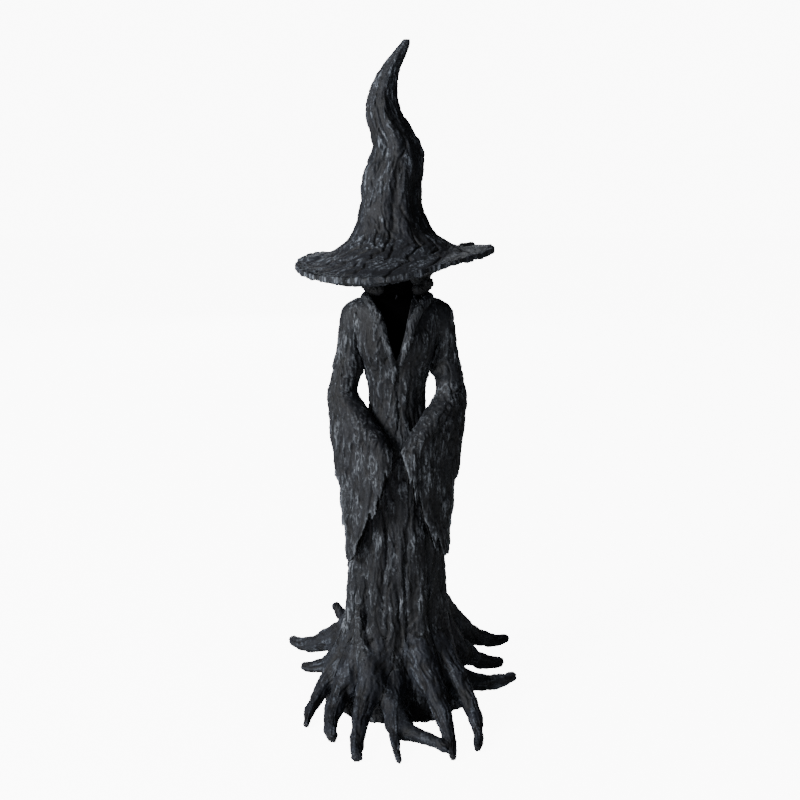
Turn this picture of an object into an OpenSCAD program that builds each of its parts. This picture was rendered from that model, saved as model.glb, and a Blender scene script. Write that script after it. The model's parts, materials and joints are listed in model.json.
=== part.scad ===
// Faceless witch figure with a turning head and hat.
// Millimetres, +Z up, face towards -Y, origin under the neck shaft on the surface it stands on.

/* [Hat] */
// Radius of the brim
brim_r = 73; // [70:1:76]
// Thickness of the brim at its rim
brim_t = 4.5; // [4:0.5:5.5]
// How much higher the brim is on the right than on the left
brim_tilt = 11.6; // [9:0.2:14]

/* [Body] */
// Wall of the moulded body shells
wall = 3; // [2.6:0.2:3.2]
// Wall of the bell sleeves
sleeve_wall = 2.6; // [2.2:0.2:3]

/* [Drive] */
// Diameter of the steel neck shaft
shaft_d = 4; // [4:0.5:5]
// Radial running clearance of the shafts in their bushes
run_gap = 0.05; // [0.03:0.01:0.08]
// Module of the sector gear and of the small idler wheel
slow_module = 0.8; // [0.8:0.05:0.85]
// Module of the large idler wheel and of the motor pinion
fast_module = 0.5; // [0.45:0.05:0.5]

/* [Battery door] */
// Half width of the door
door_half_w = 22; // [20:1:22]
// Height of the door's bottom edge
door_z = 90; // [88:1:92]
// Height of the door
door_h = 60; // [56:1:60]
// Gap round the door
door_gap = 0.6; // [0.5:0.1:0.8]

/* [Hidden] */
eps = 0.01;
far = 400;
sides = 28;
shell_rings = 34;

// Outline of the body: height, half width, half depth
BODY = [[0, 50, 46], [14, 47, 43], [30, 43, 39.5], [50, 39.5, 36], [76, 37.5, 33.5], [106, 36, 32],
        [140, 34.5, 30.5], [170, 32.5, 28.5], [200, 28.5, 25], [224, 23.5, 20.5], [246, 21.5, 18.5],
        [262, 24.5, 20], [278, 29, 21.5], [292, 33, 21.5], [303, 34.5, 20], [311, 32, 18],
        [316, 26, 16], [318, 21, 14]];
body_top = 318;

// Outline of the hat's crown above the brim: height, radius, sideways centre
CROWN = [[352, 44, -1], [359, 34.5, -1], [364, 30.4, -2.5], [371, 26.6, -3.5], [384, 22.5, -4.5],
         [402, 21.6, -4], [413, 21.2, -2.5], [421, 18.8, -0.5], [428, 17, -1], [440, 14.8, -5.5],
         [452, 12, -10], [464, 9.9, -10], [477, 7.6, -6.4], [489, 5.4, 0.6], [497, 3.6, 5.6],
         [500, 1.4, 7.4]];
brim_mid = 347.3;
hat_wall = 3;
hat_bore_r = 14;
hat_bore_top = 384;

// The roots: heading, reach, sideways sweep, rise of the tip, radius where it leaves the body,
// radius of the tip, height where it leaves the body
ROOTS = [[150, 124, -10, 3, 13, 3.4, 50], [161, 84, 1, 3, 12, 3.8, 30], [196, 93, 25, 0, 11.5, 2.6, 50],
         [219, 97, 20, 0, 12, 4.2, 42], [240, 112, 15, 0, 11.5, 3.8, 48], [266, 110, 5, 0, 9, 2.2, 30],
         [299, 114, -8, 0, 12, 2.8, 48], [325, 112, -23, 0, 12, 2.8, 50], [334, 84, -14, 0, 11, 3.6, 38],
         [338, 96, 16, 12, 11, 4, 24], [19, 99, 5, 0, 12, 3.8, 34], [41, 124, -3, 4, 14, 3.6, 74],
         [74, 104, 6, 0, 12.5, 4, 44], [104, 97, -6, 0, 12, 4, 46], [128, 88, 4, 0, 11, 4, 34]];
root_start_r = 24;
// The offshoot that links the sixth root to its neighbour
LINK = [[-1, -74, 7.5], [8, -82, 6.5], [19, -86, 6], [29, -91, 5.5], [35, -95, 5]];
link_r = [5.5, 5, 4.6, 4.2, 3.8];
link_root = 5;
root_steps = 9;
root_sides = 12;
STUB = [[-27, 20, 34], [-38, 26, 43], [-46, 30, 51], [-50, 32, 57]];
stub_r = [8, 5.5, 4, 3];

// Drive
shaft_r = shaft_d / 2;
shaft_bottom = 154;
shaft_top = 356;
deck_z = 158;
deck_t = 2.5;
sector_z = 162;
slow_t = 4;
idler_big_z = 167;
fast_t = 3;
cover_z = 172;
cover_t = 2;
deck_r = 20.5;
sector_teeth = 30;
idler_small_teeth = 10;
idler_big_teeth = 30;
pinion_teeth = 10;
sector_angle = 62;
pressure_angle = 20;
tooth_share = 0.92;
idler_at = [slow_module * (sector_teeth + idler_small_teeth) / 2, 0];
motor_turn = 126.87;
motor_at = idler_at + fast_module * (idler_big_teeth + pinion_teeth) / 2
           * [cos(motor_turn), sin(motor_turn)];
idler_axle_r = 1;
motor_shaft_r = 1;
motor_r = 7.6;
motor_h = 20;
bush_r = shaft_r + 2;
deck_screws = [[0, -22.3], [22.4, -11.6], [-22.4, -11.6]];
deck_boss_r = 3.5;

// Shell screws, pairs at half width and height, and where the two bosses meet
SHELL_SCREWS = [[27, 72, 13], [17.8, 212, 4], [19.5, 272, 6]];
screw_r = 1.3;
head_r = 2.6;
boss_r = 3.4;

// Control board: lowest corner and size
board = [-15.3, -10, cover_z + cover_t];
board_size = [1.5, 21, 27];

// Neck bridge
bridge_z = 299;
bridge_t = 3;
bridge_screw_x = 26.5;
bridge_screw_y = 4;

// Throat
throat_back_y = -8;
THROAT = [[-18, 322], [-13, 309], [-9.5, 298], [-7, 286], [0, 270], [5, 286], [7.5, 298],
          [9.5, 309], [13, 322]];

// Batteries
tray_x = 24.5;
tray_y = [-1.6, 15.6];
tray_z = [91.5, 150];
cell_pitch = 15;
cell_y = 7.5;
cell_r = 7.2;
cell_h = 49.2;
cell_z = 95.4;
nub_r = 2.7;
nub_h = 1.2;
tray_screw_x = 7.5;
tray_screw_z = 120;

// Base
pad_t = 1.5;
pad_r = 38;
base_t = 3;
base_screws = [[32, 22], [-32, 22], [32, -22], [-32, -22]];

// Power switch
switch_z = 76;
switch_travel = 3;
switch_body_w = 11;
switch_face_y = at(BODY, switch_z, 2) - 2.2;

// Door hinge: its line, and where the knuckles of the door and of the shell sit along it
door_axis_y = 33.4;
door_axis_z = door_z - 0.4;
knuckle_r = 1.5;
pin_r = 0.7;
DOOR_KNUCKLES = [[-14, -10], [10, 14]];
SHELL_KNUCKLES = [[-18, -14.3], [-9.7, -6], [6, 9.7], [14.3, 18]];

// Sleeves: shoulder, elbow, wrist and hem points on the right-hand side
SHOULDER = [32, 0, 301];
UPPER_ARM = [36.5, 1, 276];
ELBOW = [42.5, -3, 242];
WRIST = [8.6, -33, 206];
HEM_IN = [13, -38.5, 166];
HEM_MID = [28, -36, 142];
HEM_OUT = [38, -24, 126];
SIDE_OUT = [43, -11, 184];

ROOT_NAMES = [for (i = [0:len(ROOTS) - 1]) str("root_", i < 9 ? "0" : "", i + 1)];

// ---- smooth outlines -------------------------------------------------------------------

function slope(rows, i, k) = let (a = max(i - 1, 0), b = min(i + 1, len(rows) - 1))
    (rows[b][k] - rows[a][k]) / (rows[b][0] - rows[a][0]);
function span_of(rows, z, i = 0) = i >= len(rows) - 2 || z <= rows[i + 1][0] ? i
    : span_of(rows, z, i + 1);
// Column k of an outline at height z, on a smooth curve through its rows
function at(rows, z, k) = let (i = span_of(rows, z), h = rows[i + 1][0] - rows[i][0],
    t = (z - rows[i][0]) / h, u = 1 - t)
    u * u * (1 + 2 * t) * rows[i][k] + t * t * (1 + 2 * u) * rows[i + 1][k]
    + h * t * u * (u * slope(rows, i, k) - t * slope(rows, i + 1, k));
function lerp(a, b, t) = a + (b - a) * t;

// A closed solid through rings of points that all have the same count
module skin(rings) {
    n = len(rings[0]);
    points = [for (r = rings) each r];
    last = (len(rings) - 1) * n;
    faces = concat([[for (i = [0:n - 1]) i]], [[for (i = [n - 1:-1:0]) last + i]],
        [for (k = [0:len(rings) - 2], i = [0:n - 1]) let (j = (i + 1) % n, a = k * n)
            each [[a + i, a + n + i, a + j], [a + j, a + n + i, a + n + j]]]);
    polyhedron(points, faces, convexity = 6);
}

function ring(z, rx, ry, cx = 0) = [for (i = [0:sides - 1]) let (a = 360 * i / sides)
    [cx + rx * cos(a), ry * sin(a), z]];

// The body's outline as a solid, its sides moved out by grow
module body_solid(grow = 0, low = 0, high = body_top) {
    skin([for (k = [0:shell_rings]) let (z = lerp(low, high, k / shell_rings),
        s = lerp(0, body_top, k / shell_rings))
        ring(z, at(BODY, s, 1) + grow, at(BODY, s, 2) + grow)]);
}

module half_space(side) {
    translate([-far / 2, side > 0 ? 0 : -far, -far / 2]) cube([far, far, 2 * far]);
}

module rod_y(r, x, z, y0, y1) {
    translate([x, y0, z]) rotate([-90, 0, 0]) cylinder(h = y1 - y0, r = r, $fn = 32);
}

module rod_z(r, x, y, z0, z1, fn = 32) {
    translate([x, y, z0]) cylinder(h = z1 - z0, r = r, $fn = fn);
}

// Rods along the door's hinge line, each span made longer by grow at both ends
module hinge_rods(r, spans, grow = 0) {
    for (s = spans) translate([s[0] - grow, door_axis_y, door_axis_z]) rotate([0, 90, 0])
        cylinder(h = s[1] - s[0] + 2 * grow, r = r, $fn = 32);
}

// ---- hat and head ----------------------------------------------------------------------

function brim_z(a) = brim_mid + brim_tilt / 2 * cos(a) + 4.2 * sin(a)
    + 2.1 * cos(2 * a) - 2.4 * sin(2 * a);
// A ring of the brim at share s of its width, from the crown (0) to the rim (1)
function brim_ring(r, s, drop, cx) = [for (i = [0:sides - 1]) let (a = 360 * i / sides)
    [cx + r * cos(a), r * sin(a), lerp(CROWN[0][0], brim_z(a), s) - drop]];

module hat() {
    hollow = [for (k = [0:12]) let (z = lerp(482, hat_bore_top + 3, k / 12), q = at(CROWN, z, 1))
        ring(z - 1, q - hat_wall, q - hat_wall, at(CROWN, z, 2))];
    bore = [ring(hat_bore_top, hat_bore_r, hat_bore_r), brim_ring(hat_bore_r, 0, 3.5, 0)];
    under = [brim_ring(44, 0.3, 5.5, -1), brim_ring(60, 0.75, 5, -1)];
    rim = [brim_ring(brim_r - 1, 1, brim_t, -2.5), brim_ring(brim_r, 1, brim_t / 2, -2.5),
        brim_ring(brim_r - 1, 1, 0, -2.5)];
    top = [brim_ring(60, 0.75, -0.5, -1), brim_ring(51, 0.4, -1, -1)];
    crown = [for (k = [0:22]) let (z = lerp(354, 500, k / 22))
        ring(z, at(CROWN, z, 1), at(CROWN, z, 1), at(CROWN, z, 2))];
    color([0.13, 0.13, 0.14]) skin(concat(hollow, bore, under, rim, top, crown));
}

module head_core() {
    fit_r = hat_bore_r - 0.15;
    color([0.03, 0.03, 0.035]) difference() {
        rotate_extrude($fn = 48) polygon([[0, 320], [11, 320], [14, 324], [16.8, 334],
            [16.8, 348], [fit_r, 348], [fit_r, hat_bore_top], [0, hat_bore_top]]);
        rod_z(shaft_r, 0, 0, 319, shaft_top);
    }
}

module hair() {
    color([0.08, 0.08, 0.09]) rotate([0, 0, -35]) rotate_extrude(angle = 250, $fn = 48)
        polygon([[16, 320], [21, 319.6], [24.5, 323], [25.5, 330], [23, 337], [20.5, 341],
            [17.4, 341], [17.4, 334], [14.8, 324]]);
}

// ---- body ------------------------------------------------------------------------------

// The V opening of the robe, moved out by grow, from y0 to y1
module throat_wedge(grow, y0, y1) {
    translate([0, y1, 0]) rotate([90, 0, 0]) linear_extrude(y1 - y0)
        polygon([for (p = THROAT) [p[0] + sign(p[0]) * grow, p[1] - (p[0] == 0 ? 2 * grow : 0)]]);
}

module throat_liner() {
    color([0.02, 0.02, 0.02]) intersection() {
        difference() {
            throat_wedge(2, -30, throat_back_y);
            throat_wedge(0, -31, throat_back_y - 1.6);
        }
        body_solid(-wall - 0.05);
        translate([-40, -40, 250]) cube([80, 80, 67]);
    }
}

module screw_bosses(front) {
    for (s = SHELL_SCREWS, x = [-s[0], s[0]])
        rod_y(boss_r, x, s[1], front ? -far / 4 : s[2], front ? s[2] : far / 4);
}

module base_bosses(front) {
    for (p = base_screws) if ((p[1] < 0) == front)
        rod_z(4.5, p[0], p[1], pad_t + base_t, 22);
}

module shell_wall() {
    difference() {
        body_solid();
        body_solid(-wall, -1, body_top + 1);
    }
}

module front_body_shell() {
    color([0.11, 0.11, 0.12]) difference() {
        union() {
            difference() {
                shell_wall();
                half_space(1);
                throat_wedge(0, -60, -1);
            }
            intersection() {
                body_solid(-wall / 2);
                union() {
                    screw_bosses(true);
                    base_bosses(true);
                    for (p = deck_screws) rod_z(deck_boss_r, p[0], p[1], deck_z - 10, deck_z);
                    for (x = [-1, 1]) rod_y(3, x * tray_screw_x, tray_screw_z, -60, tray_y[0]);
                }
            }
        }
        for (s = SHELL_SCREWS, x = [-s[0], s[0]]) rod_y(1, x, s[1], s[2] - 9, s[2] + 1);
        for (p = base_screws) rod_z(1.1, p[0], p[1], 0, 16, 24);
        for (p = deck_screws) rod_z(0.9, p[0], p[1], deck_z - 8, deck_z + 1, 24);
        for (x = [-1, 1]) rod_y(0.9, x * tray_screw_x, tray_screw_z, tray_y[0] - 8, tray_y[0] + 1);
    }
}

module door_box(grow) {
    translate([-door_half_w - grow, 5, door_z - grow])
        cube([2 * (door_half_w + grow), 60, door_h + grow + (grow > 0 ? 1 : 0)]);
}

module rear_body_shell() {
    color([0.11, 0.11, 0.12]) difference() {
        union() {
            difference() {
                shell_wall();
                half_space(-1);
                door_box(door_gap);
            }
            intersection() {
                body_solid(-wall / 2);
                union() {
                    screw_bosses(false);
                    base_bosses(false);
                    for (x = [-1, 1])
                        rod_z(3.6, x * bridge_screw_x, bridge_screw_y, bridge_z - 14, bridge_z);
                }
            }
            hinge_rods(knuckle_r, SHELL_KNUCKLES);
        }
        hinge_rods(knuckle_r + 0.4, DOOR_KNUCKLES, 0.3);
        hinge_rods(pin_r, DOOR_KNUCKLES, 4.1);
        for (s = SHELL_SCREWS, x = [-s[0], s[0]]) {
            rod_y(screw_r + 0.2, x, s[1], s[2] - 1, 60);
            rod_y(head_r + 0.2, x, s[1], s[2] + 3, 60);
        }
        for (p = base_screws) rod_z(1.1, p[0], p[1], 0, 16, 24);
        for (x = [-1, 1])
            rod_z(0.9, x * bridge_screw_x, bridge_screw_y, bridge_z - 9, bridge_z + 1, 24);
        translate([-2.2, 20, switch_z - 2.3]) cube([4.4 + switch_travel, 30, 4.6]);
        translate([-switch_body_w / 2, 20, switch_z - 3.2])
            cube([switch_body_w, switch_face_y - 20, 6.4]);
    }
}

module battery_door() {
    color([0.11, 0.11, 0.12]) difference() {
        union() {
            difference() {
                intersection() {
                    shell_wall();
                    door_box(0);
                }
                hinge_rods(knuckle_r + 0.4, SHELL_KNUCKLES, 0.3);
            }
            hinge_rods(knuckle_r, DOOR_KNUCKLES);
            for (k = DOOR_KNUCKLES)
                translate([k[0], door_axis_y - 2.4, door_z - 0.2]) cube([k[1] - k[0], 2.4, 3]);
        }
        hinge_rods(pin_r + run_gap, DOOR_KNUCKLES, 1);
    }
}

module door_pins() {
    color([0.75, 0.75, 0.77]) hinge_rods(pin_r, [[-18, -6], [6, 18]]);
}

// A strip that follows points, with a radius at each point
module strip(points, radii, fn = 12) {
    for (i = [0:len(points) - 2]) hull() {
        translate(points[i]) sphere(r = radii[i], $fn = fn + 2);
        translate(points[i + 1]) sphere(r = radii[i + 1], $fn = fn + 2);
    }
}

// The raised collar edge on one side of the throat, from behind the neck down to the closing
module collar(side) {
    path = [[17, 12, 315], [20.5, 5, 314.8], [22, -3, 314.4], [20, -11, 313.4], [16, -17, 309],
        [12, -20.5, 300], [9.8, -22.6, 290.5], [6.6, -23.2, 281], [3.2, -22.8, 271.5]];
    color([0.14, 0.14, 0.15]) difference() {
        strip([for (p = path) [side * p[0], p[1], p[2]]], [2, 2.8, 3.4, 3.6, 3.6, 3.4, 3, 2.4, 1.6]);
        body_solid(0.05);
        translate([-50, -50, 318.4]) cube([100, 100, 20]);
        throat_wedge(-0.3, -60, -1);
        translate([side > 0 ? -50.15 : 0.15, -50, 250]) cube([50, 100, 60]);
    }
}
module collar_left() { collar(-1); }
module collar_right() { collar(1); }

// One arm with its bell sleeve, hollow from the hem upwards
module sleeve(side) {
    function m(p) = [side * p[0], p[1], p[2]];
    color([0.12, 0.12, 0.13]) difference() {
        union() {
            strip([m(SHOULDER), m(UPPER_ARM), m(ELBOW)], [9, 9.5, 10.5], 16);
            hull() {
                translate(m(ELBOW)) sphere(r = 10, $fn = 18);
                translate(m(WRIST)) sphere(r = 5, $fn = 18);
                translate(m(SIDE_OUT)) sphere(r = 5, $fn = 18);
                translate(m(HEM_IN)) sphere(r = 3, $fn = 14);
                translate(m(HEM_MID)) sphere(r = 3, $fn = 14);
                translate(m(HEM_OUT)) sphere(r = 3, $fn = 14);
            }
        }
        body_solid(0.05);
        hull() {
            translate(m(ELBOW - [4, 4, 24])) sphere(r = 3, $fn = 14);
            translate(m(WRIST + [6, 4, -14])) sphere(r = 1.6, $fn = 12);
            translate(m(HEM_IN + [1, 7, -12])) sphere(r = 2, $fn = 12);
            translate(m(HEM_MID + [-2, 8, -12])) sphere(r = 3, $fn = 12);
            translate(m(HEM_OUT + [-5, 3, -10])) sphere(r = 2.5, $fn = 12);
            translate(m(SIDE_OUT + [-5, 1, 0])) sphere(r = 2.5, $fn = 12);
        }
    }
}
module left_sleeve() { sleeve(-1); }
module right_sleeve() { sleeve(1); }

// ---- roots -----------------------------------------------------------------------------

function root_radius(r, t) = lerp(r[4], r[5], t);
function root_point(r, t) = let (reach = lerp(root_start_r, r[1] - r[5], t),
    a = r[0] + r[2] * t * t, fall = pow(1 - t, 1.8))
    [reach * cos(a), reach * sin(a), root_radius(r, t) + r[6] * fall + r[3] * t * t];

function root_ring(c, a, q) = [for (i = [0:root_sides - 1]) let (b = 360 * i / root_sides)
    c + q * [-sin(a) * cos(b), cos(a) * cos(b), sin(b)]];
function root_rings(r) = let (tip = root_point(r, 1), a = r[0] + r[2]) concat(
    [for (k = [0:root_steps]) let (t = k / root_steps)
        root_ring(root_point(r, t), r[0] + r[2] * t * t, root_radius(r, t))],
    [for (b = [35, 65]) root_ring(tip + r[5] * sin(b) * [cos(a), sin(a), 0], a, r[5] * cos(b))]);

module root_tube(i, grow = 0) {
    r = ROOTS[i];
    rings = root_rings([r[0], r[1], r[2], r[3], r[4] + grow, r[5] + grow, r[6]]);
    for (k = [0:len(rings) - 2]) hull() skin([rings[k], rings[k + 1]]);
    if (i == link_root) strip(LINK, [for (q = link_r) q + grow]);
}

module root(i) {
    color([0.1, 0.1, 0.11]) difference() {
        root_tube(i);
        body_solid(0.08);
        if (i > 0) root_tube(i - 1, 0.05);
        if (i == 0) root_tube(len(ROOTS) - 1, 0.05);
    }
}

module broken_root_stub() {
    color([0.1, 0.1, 0.11]) difference() {
        strip(STUB, stub_r);
        body_solid(0.08);
        for (i = [0, 1, len(ROOTS) - 1]) root_tube(i, 0.05);
    }
}

// ---- base ------------------------------------------------------------------------------

module base_plate() {
    color([0.2, 0.2, 0.2]) difference() {
        intersection() {
            rod_z(46, 0, 0, pad_t, pad_t + base_t, 96);
            body_solid(-wall - 0.3, 0, 318);
        }
        for (p = base_screws) rod_z(screw_r + 0.2, p[0], p[1], 0, 10);
        for (p = base_screws) rod_z(head_r + 0.2, p[0], p[1], 0, pad_t + 1.6);
    }
}

module base_pad() {
    color([0.16, 0.16, 0.17]) difference() {
        rod_z(pad_r, 0, 0, 0, pad_t, 96);
        for (p = base_screws) rod_z(head_r + 1.2, p[0], p[1], -1, pad_t + 1);
    }
}

// A pan-head screw along +Z whose head's top is at z = 0 and whose tip is at z = length
module screw(length, r = screw_r, head = head_r, head_h = 1.5) {
    difference() {
        union() {
            cylinder(h = head_h, r = head, $fn = 32);
            cylinder(h = length, r = r * 0.75, $fn = 24);
        }
        for (a = [0, 90]) rotate([0, 0, a]) translate([-head * 0.6, -0.3, -1])
            cube([head * 1.2, 0.6, 1.8]);
    }
}

module base_screws() {
    color([0.6, 0.6, 0.62]) for (p = base_screws)
        translate([p[0], p[1], pad_t + 0.1]) screw(11);
}

module shell_screws() {
    color([0.6, 0.6, 0.62]) for (s = SHELL_SCREWS, x = [-s[0], s[0]])
        translate([x, s[2] + 4.5, s[1]]) rotate([90, 0, 0]) screw(12);
}

module bridge_screws() {
    color([0.6, 0.6, 0.62]) for (x = [-1, 1])
        translate([x * bridge_screw_x, bridge_screw_y, bridge_z + bridge_t + 1.2])
            rotate([180, 0, 0]) screw(10, 1.1, 2.2, 1.2);
}

module gearbox_screws() {
    color([0.6, 0.6, 0.62]) for (p = deck_screws)
        translate([p[0], p[1], deck_z + deck_t + 1.2]) rotate([180, 0, 0]) screw(9, 1.1, 2.2, 1.2);
}

module tray_screws() {
    color([0.6, 0.6, 0.62]) for (x = [-1, 1])
        translate([x * tray_screw_x, 0.1, tray_screw_z]) rotate([90, 0, 0])
            screw(8, 1.1, 2, 0.8);
}

// ---- drive -----------------------------------------------------------------------------

function inv(a) = tan(a) * 180 / PI - a;
// Half the angle of a tooth at radius r
function half_tooth(m, z, r) = let (rp = m * z / 2, rb = rp * cos(pressure_angle))
    90 / z * tooth_share + inv(pressure_angle) - (r > rb ? inv(acos(rb / r)) : 0);
module gear_2d(m, z) {
    rp = m * z / 2;
    rb = rp * cos(pressure_angle);
    radii = [rp - 1.2 * m, max(rb, rp - 0.8 * m), rp, rp + 0.4 * m, rp + 0.8 * m];
    n = len(radii);
    polygon([for (i = [0:z - 1]) each concat(
        [for (k = [0:n - 1]) let (a = 360 * i / z - half_tooth(m, z, radii[k]))
            radii[k] * [cos(a), sin(a)]],
        [for (k = [n - 1:-1:0]) let (a = 360 * i / z + half_tooth(m, z, radii[k]))
            radii[k] * [cos(a), sin(a)]])]);
}

module sector_gear() {
    reach = slow_module * sector_teeth;
    color([0.85, 0.83, 0.75]) difference() {
        union() {
            translate([0, 0, sector_z]) linear_extrude(slow_t) intersection() {
                gear_2d(slow_module, sector_teeth);
                polygon([[0, 0], reach * [cos(-sector_angle), sin(-sector_angle)],
                    [reach, -reach / 3], [reach, reach / 3],
                    reach * [cos(sector_angle), sin(sector_angle)]]);
            }
            rod_z(5, 0, 0, deck_z + deck_t + 0.6, idler_big_z + 3);
        }
        rod_z(shaft_r, 0, 0, deck_z, cover_z);
    }
}

module idler_gear() {
    color([0.85, 0.83, 0.75]) translate([idler_at[0], idler_at[1], 0]) difference() {
        union() {
            translate([0, 0, sector_z - 0.5]) rotate([0, 0, 180 / idler_small_teeth])
                linear_extrude(slow_t + 1.2) gear_2d(slow_module, idler_small_teeth);
            translate([0, 0, idler_big_z]) rotate([0, 0, motor_turn])
                linear_extrude(fast_t) gear_2d(fast_module, idler_big_teeth);
            rod_z(2.4, 0, 0, sector_z - 0.8, cover_z - 0.6);
        }
        rod_z(idler_axle_r + run_gap, 0, 0, deck_z, cover_z + 1);
    }
}

module idler_axle() {
    color([0.75, 0.75, 0.77]) rod_z(idler_axle_r, idler_at[0], idler_at[1], deck_z + 0.2,
        cover_z + cover_t);
}

module motor_pinion() {
    color([0.8, 0.65, 0.3]) translate([motor_at[0], motor_at[1], 0]) difference() {
        translate([0, 0, idler_big_z - 0.3])
            rotate([0, 0, motor_turn + 180 + 180 / pinion_teeth])
            linear_extrude(fast_t + 0.6) gear_2d(fast_module, pinion_teeth);
        rod_z(motor_shaft_r, 0, 0, deck_z, cover_z);
    }
}

module motor_shaft() {
    color([0.75, 0.75, 0.77]) rod_z(motor_shaft_r, motor_at[0], motor_at[1], idler_big_z - 0.3,
        cover_z + cover_t + 3);
}

module motor() {
    color([0.7, 0.7, 0.72]) translate([motor_at[0], motor_at[1], cover_z + cover_t]) difference() {
        union() {
            intersection() {
                cylinder(h = motor_h, r = motor_r, $fn = 48);
                translate([-motor_r, -6, 0]) cube([2 * motor_r, 12, motor_h]);
            }
            translate([0, 0, motor_h - eps]) cylinder(h = 1.5, r = 3, $fn = 32);
            for (s = [-1, 1]) translate([s * 4.5 - 0.4, -1.2, motor_h - eps]) cube([0.8, 2.4, 3]);
        }
        translate([0, 0, -1]) cylinder(h = 4.2, r = motor_shaft_r + run_gap, $fn = 24);
    }
}

// The gearbox's floor, with three ears that stand on the front shell's posts
module deck_outline() {
    difference() {
        union() {
            circle(r = deck_r, $fn = 72);
            for (p = deck_screws) let (reach = norm(p)) rotate(atan2(p[1], p[0])) {
                translate([reach, 0]) circle(r = 3.2, $fn = 32);
                translate([0, -2.6]) square([reach, 5.2]);
            }
        }
        for (p = deck_screws) translate(p) circle(r = 1.3, $fn = 24);
    }
}

module gearbox_base() {
    color([0.3, 0.3, 0.32]) difference() {
        union() {
            translate([0, 0, deck_z]) linear_extrude(deck_t) deck_outline();
            for (a = [100, 190, 235])
                rod_z(2.4, 17.4 * cos(a), 17.4 * sin(a), deck_z + 1, cover_z, 24);
        }
        rod_z(bush_r, 0, 0, deck_z - 1, deck_z + deck_t + 1);
        rod_z(idler_axle_r, idler_at[0], idler_at[1], deck_z + 0.2, deck_z + deck_t + 1);
    }
}

module gearbox_cover() {
    color([0.3, 0.3, 0.32]) difference() {
        union() {
            rod_z(deck_r, 0, 0, cover_z, cover_z + cover_t, 72);
            translate([-17, -9, cover_z + cover_t - eps]) cube([3.5, 3, 5]);
            translate([-17, 7, cover_z + cover_t - eps]) cube([3.5, 3, 5]);
        }
        rod_z(shaft_r + 1, 0, 0, cover_z - 1, cover_z + cover_t + 1);
        rod_z(idler_axle_r, idler_at[0], idler_at[1], cover_z - 1, cover_z + cover_t + 1);
        rod_z(2.2, motor_at[0], motor_at[1], cover_z - 1, cover_z + cover_t + 1);
        translate([-15.4, -30, cover_z + cover_t]) cube([1.7, 60, 10]);
    }
}

module flanged_bush(z, length, flange_up) {
    color([0.8, 0.62, 0.28]) difference() {
        union() {
            rod_z(bush_r, 0, 0, z, z + length);
            rod_z(bush_r + 1.6, 0, 0, flange_up ? z + length - 1 : z, flange_up ? z + length : z + 1);
        }
        rod_z(shaft_r + run_gap, 0, 0, z - 1, z + length + 1);
    }
}

module lower_bush() { flanged_bush(deck_z - 1, deck_t + 1, false); }
module neck_bush() { flanged_bush(bridge_z, bridge_t + 1, true); }

module neck_shaft() {
    color([0.75, 0.75, 0.77]) difference() {
        rod_z(shaft_r, 0, 0, shaft_bottom, shaft_top);
        difference() {
            rod_z(shaft_r + 1, 0, 0, 155.2, 156);
            rod_z(shaft_r - 0.5, 0, 0, 155, 157);
        }
    }
}

module shaft_clip() {
    color([0.5, 0.5, 0.52]) difference() {
        rod_z(shaft_r + 1.8, 0, 0, 155.25, 155.95);
        rod_z(shaft_r - 0.5, 0, 0, 155, 157);
        translate([0, -1.2, 155]) cube([10, 2.4, 2]);
    }
}

module thrust_collar() {
    color([0.8, 0.62, 0.28]) difference() {
        rod_z(5, 0, 0, bridge_z + bridge_t + 1.1, bridge_z + bridge_t + 6);
        rod_z(shaft_r, 0, 0, bridge_z, bridge_z + 20);
    }
}

module neck_bridge() {
    color([0.05, 0.05, 0.05]) difference() {
        intersection() {
            body_solid(-wall - 0.3);
            translate([-40, throat_back_y + 0.5, bridge_z]) cube([80, 40, bridge_t]);
        }
        rod_z(bush_r, 0, 0, bridge_z - 1, bridge_z + bridge_t + 1);
        for (x = [-1, 1])
            rod_z(1.3, x * bridge_screw_x, bridge_screw_y, bridge_z - 1, bridge_z + bridge_t + 1);
    }
}

// ---- electrics -------------------------------------------------------------------------

module control_board() {
    color([0.1, 0.35, 0.2]) translate(board) cube(board_size);
}

module board_components() {
    face = board[0];
    color([0.12, 0.12, 0.12]) {
        translate([face - 1.6, -4, 186]) cube([1.6, 6, 8]);
        translate([face - 4, -5.8, 176.5]) cube([4, 6, 5]);
        translate([face - 4, 0.8, 176.5]) cube([4, 6, 5]);
        translate([face - 3.4, 6.5, 186]) cube([3.4, 2.5, 6]);
    }
    color([0.15, 0.2, 0.45]) rod_z(2, face + board_size[0] + 2, 5, 182, 192);
}

module battery_tray() {
    color([0.15, 0.15, 0.15]) difference() {
        translate([-tray_x, tray_y[0], tray_z[0]])
            cube([2 * tray_x, tray_y[1] - tray_y[0], tray_z[1] - tray_z[0]]);
        translate([-tray_x + 1.6, 0.1, tray_z[0] + 1.6])
            cube([2 * tray_x - 3.2, 40, tray_z[1] - tray_z[0] - 3.2]);
        for (x = [-1, 1]) rod_y(1.2, x * tray_screw_x, tray_screw_z, -5, 5);
        for (x = [-1, 1]) rod_y(2.1, x * tray_screw_x, tray_screw_z, -0.8, 5);
    }
}

module battery_cells() {
    for (i = [-1:1]) translate([i * cell_pitch, cell_y, 0]) {
        up = i != 0;
        color([0.25, 0.27, 0.3]) rod_z(cell_r, 0, 0, cell_z + (up ? 0 : nub_h),
            cell_z + cell_h + (up ? 0 : nub_h), 48);
        color([0.75, 0.75, 0.77]) rod_z(nub_r, 0, 0, up ? cell_z + cell_h - eps : cell_z,
            up ? cell_z + cell_h + nub_h : cell_z + nub_h + eps);
    }
}

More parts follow.
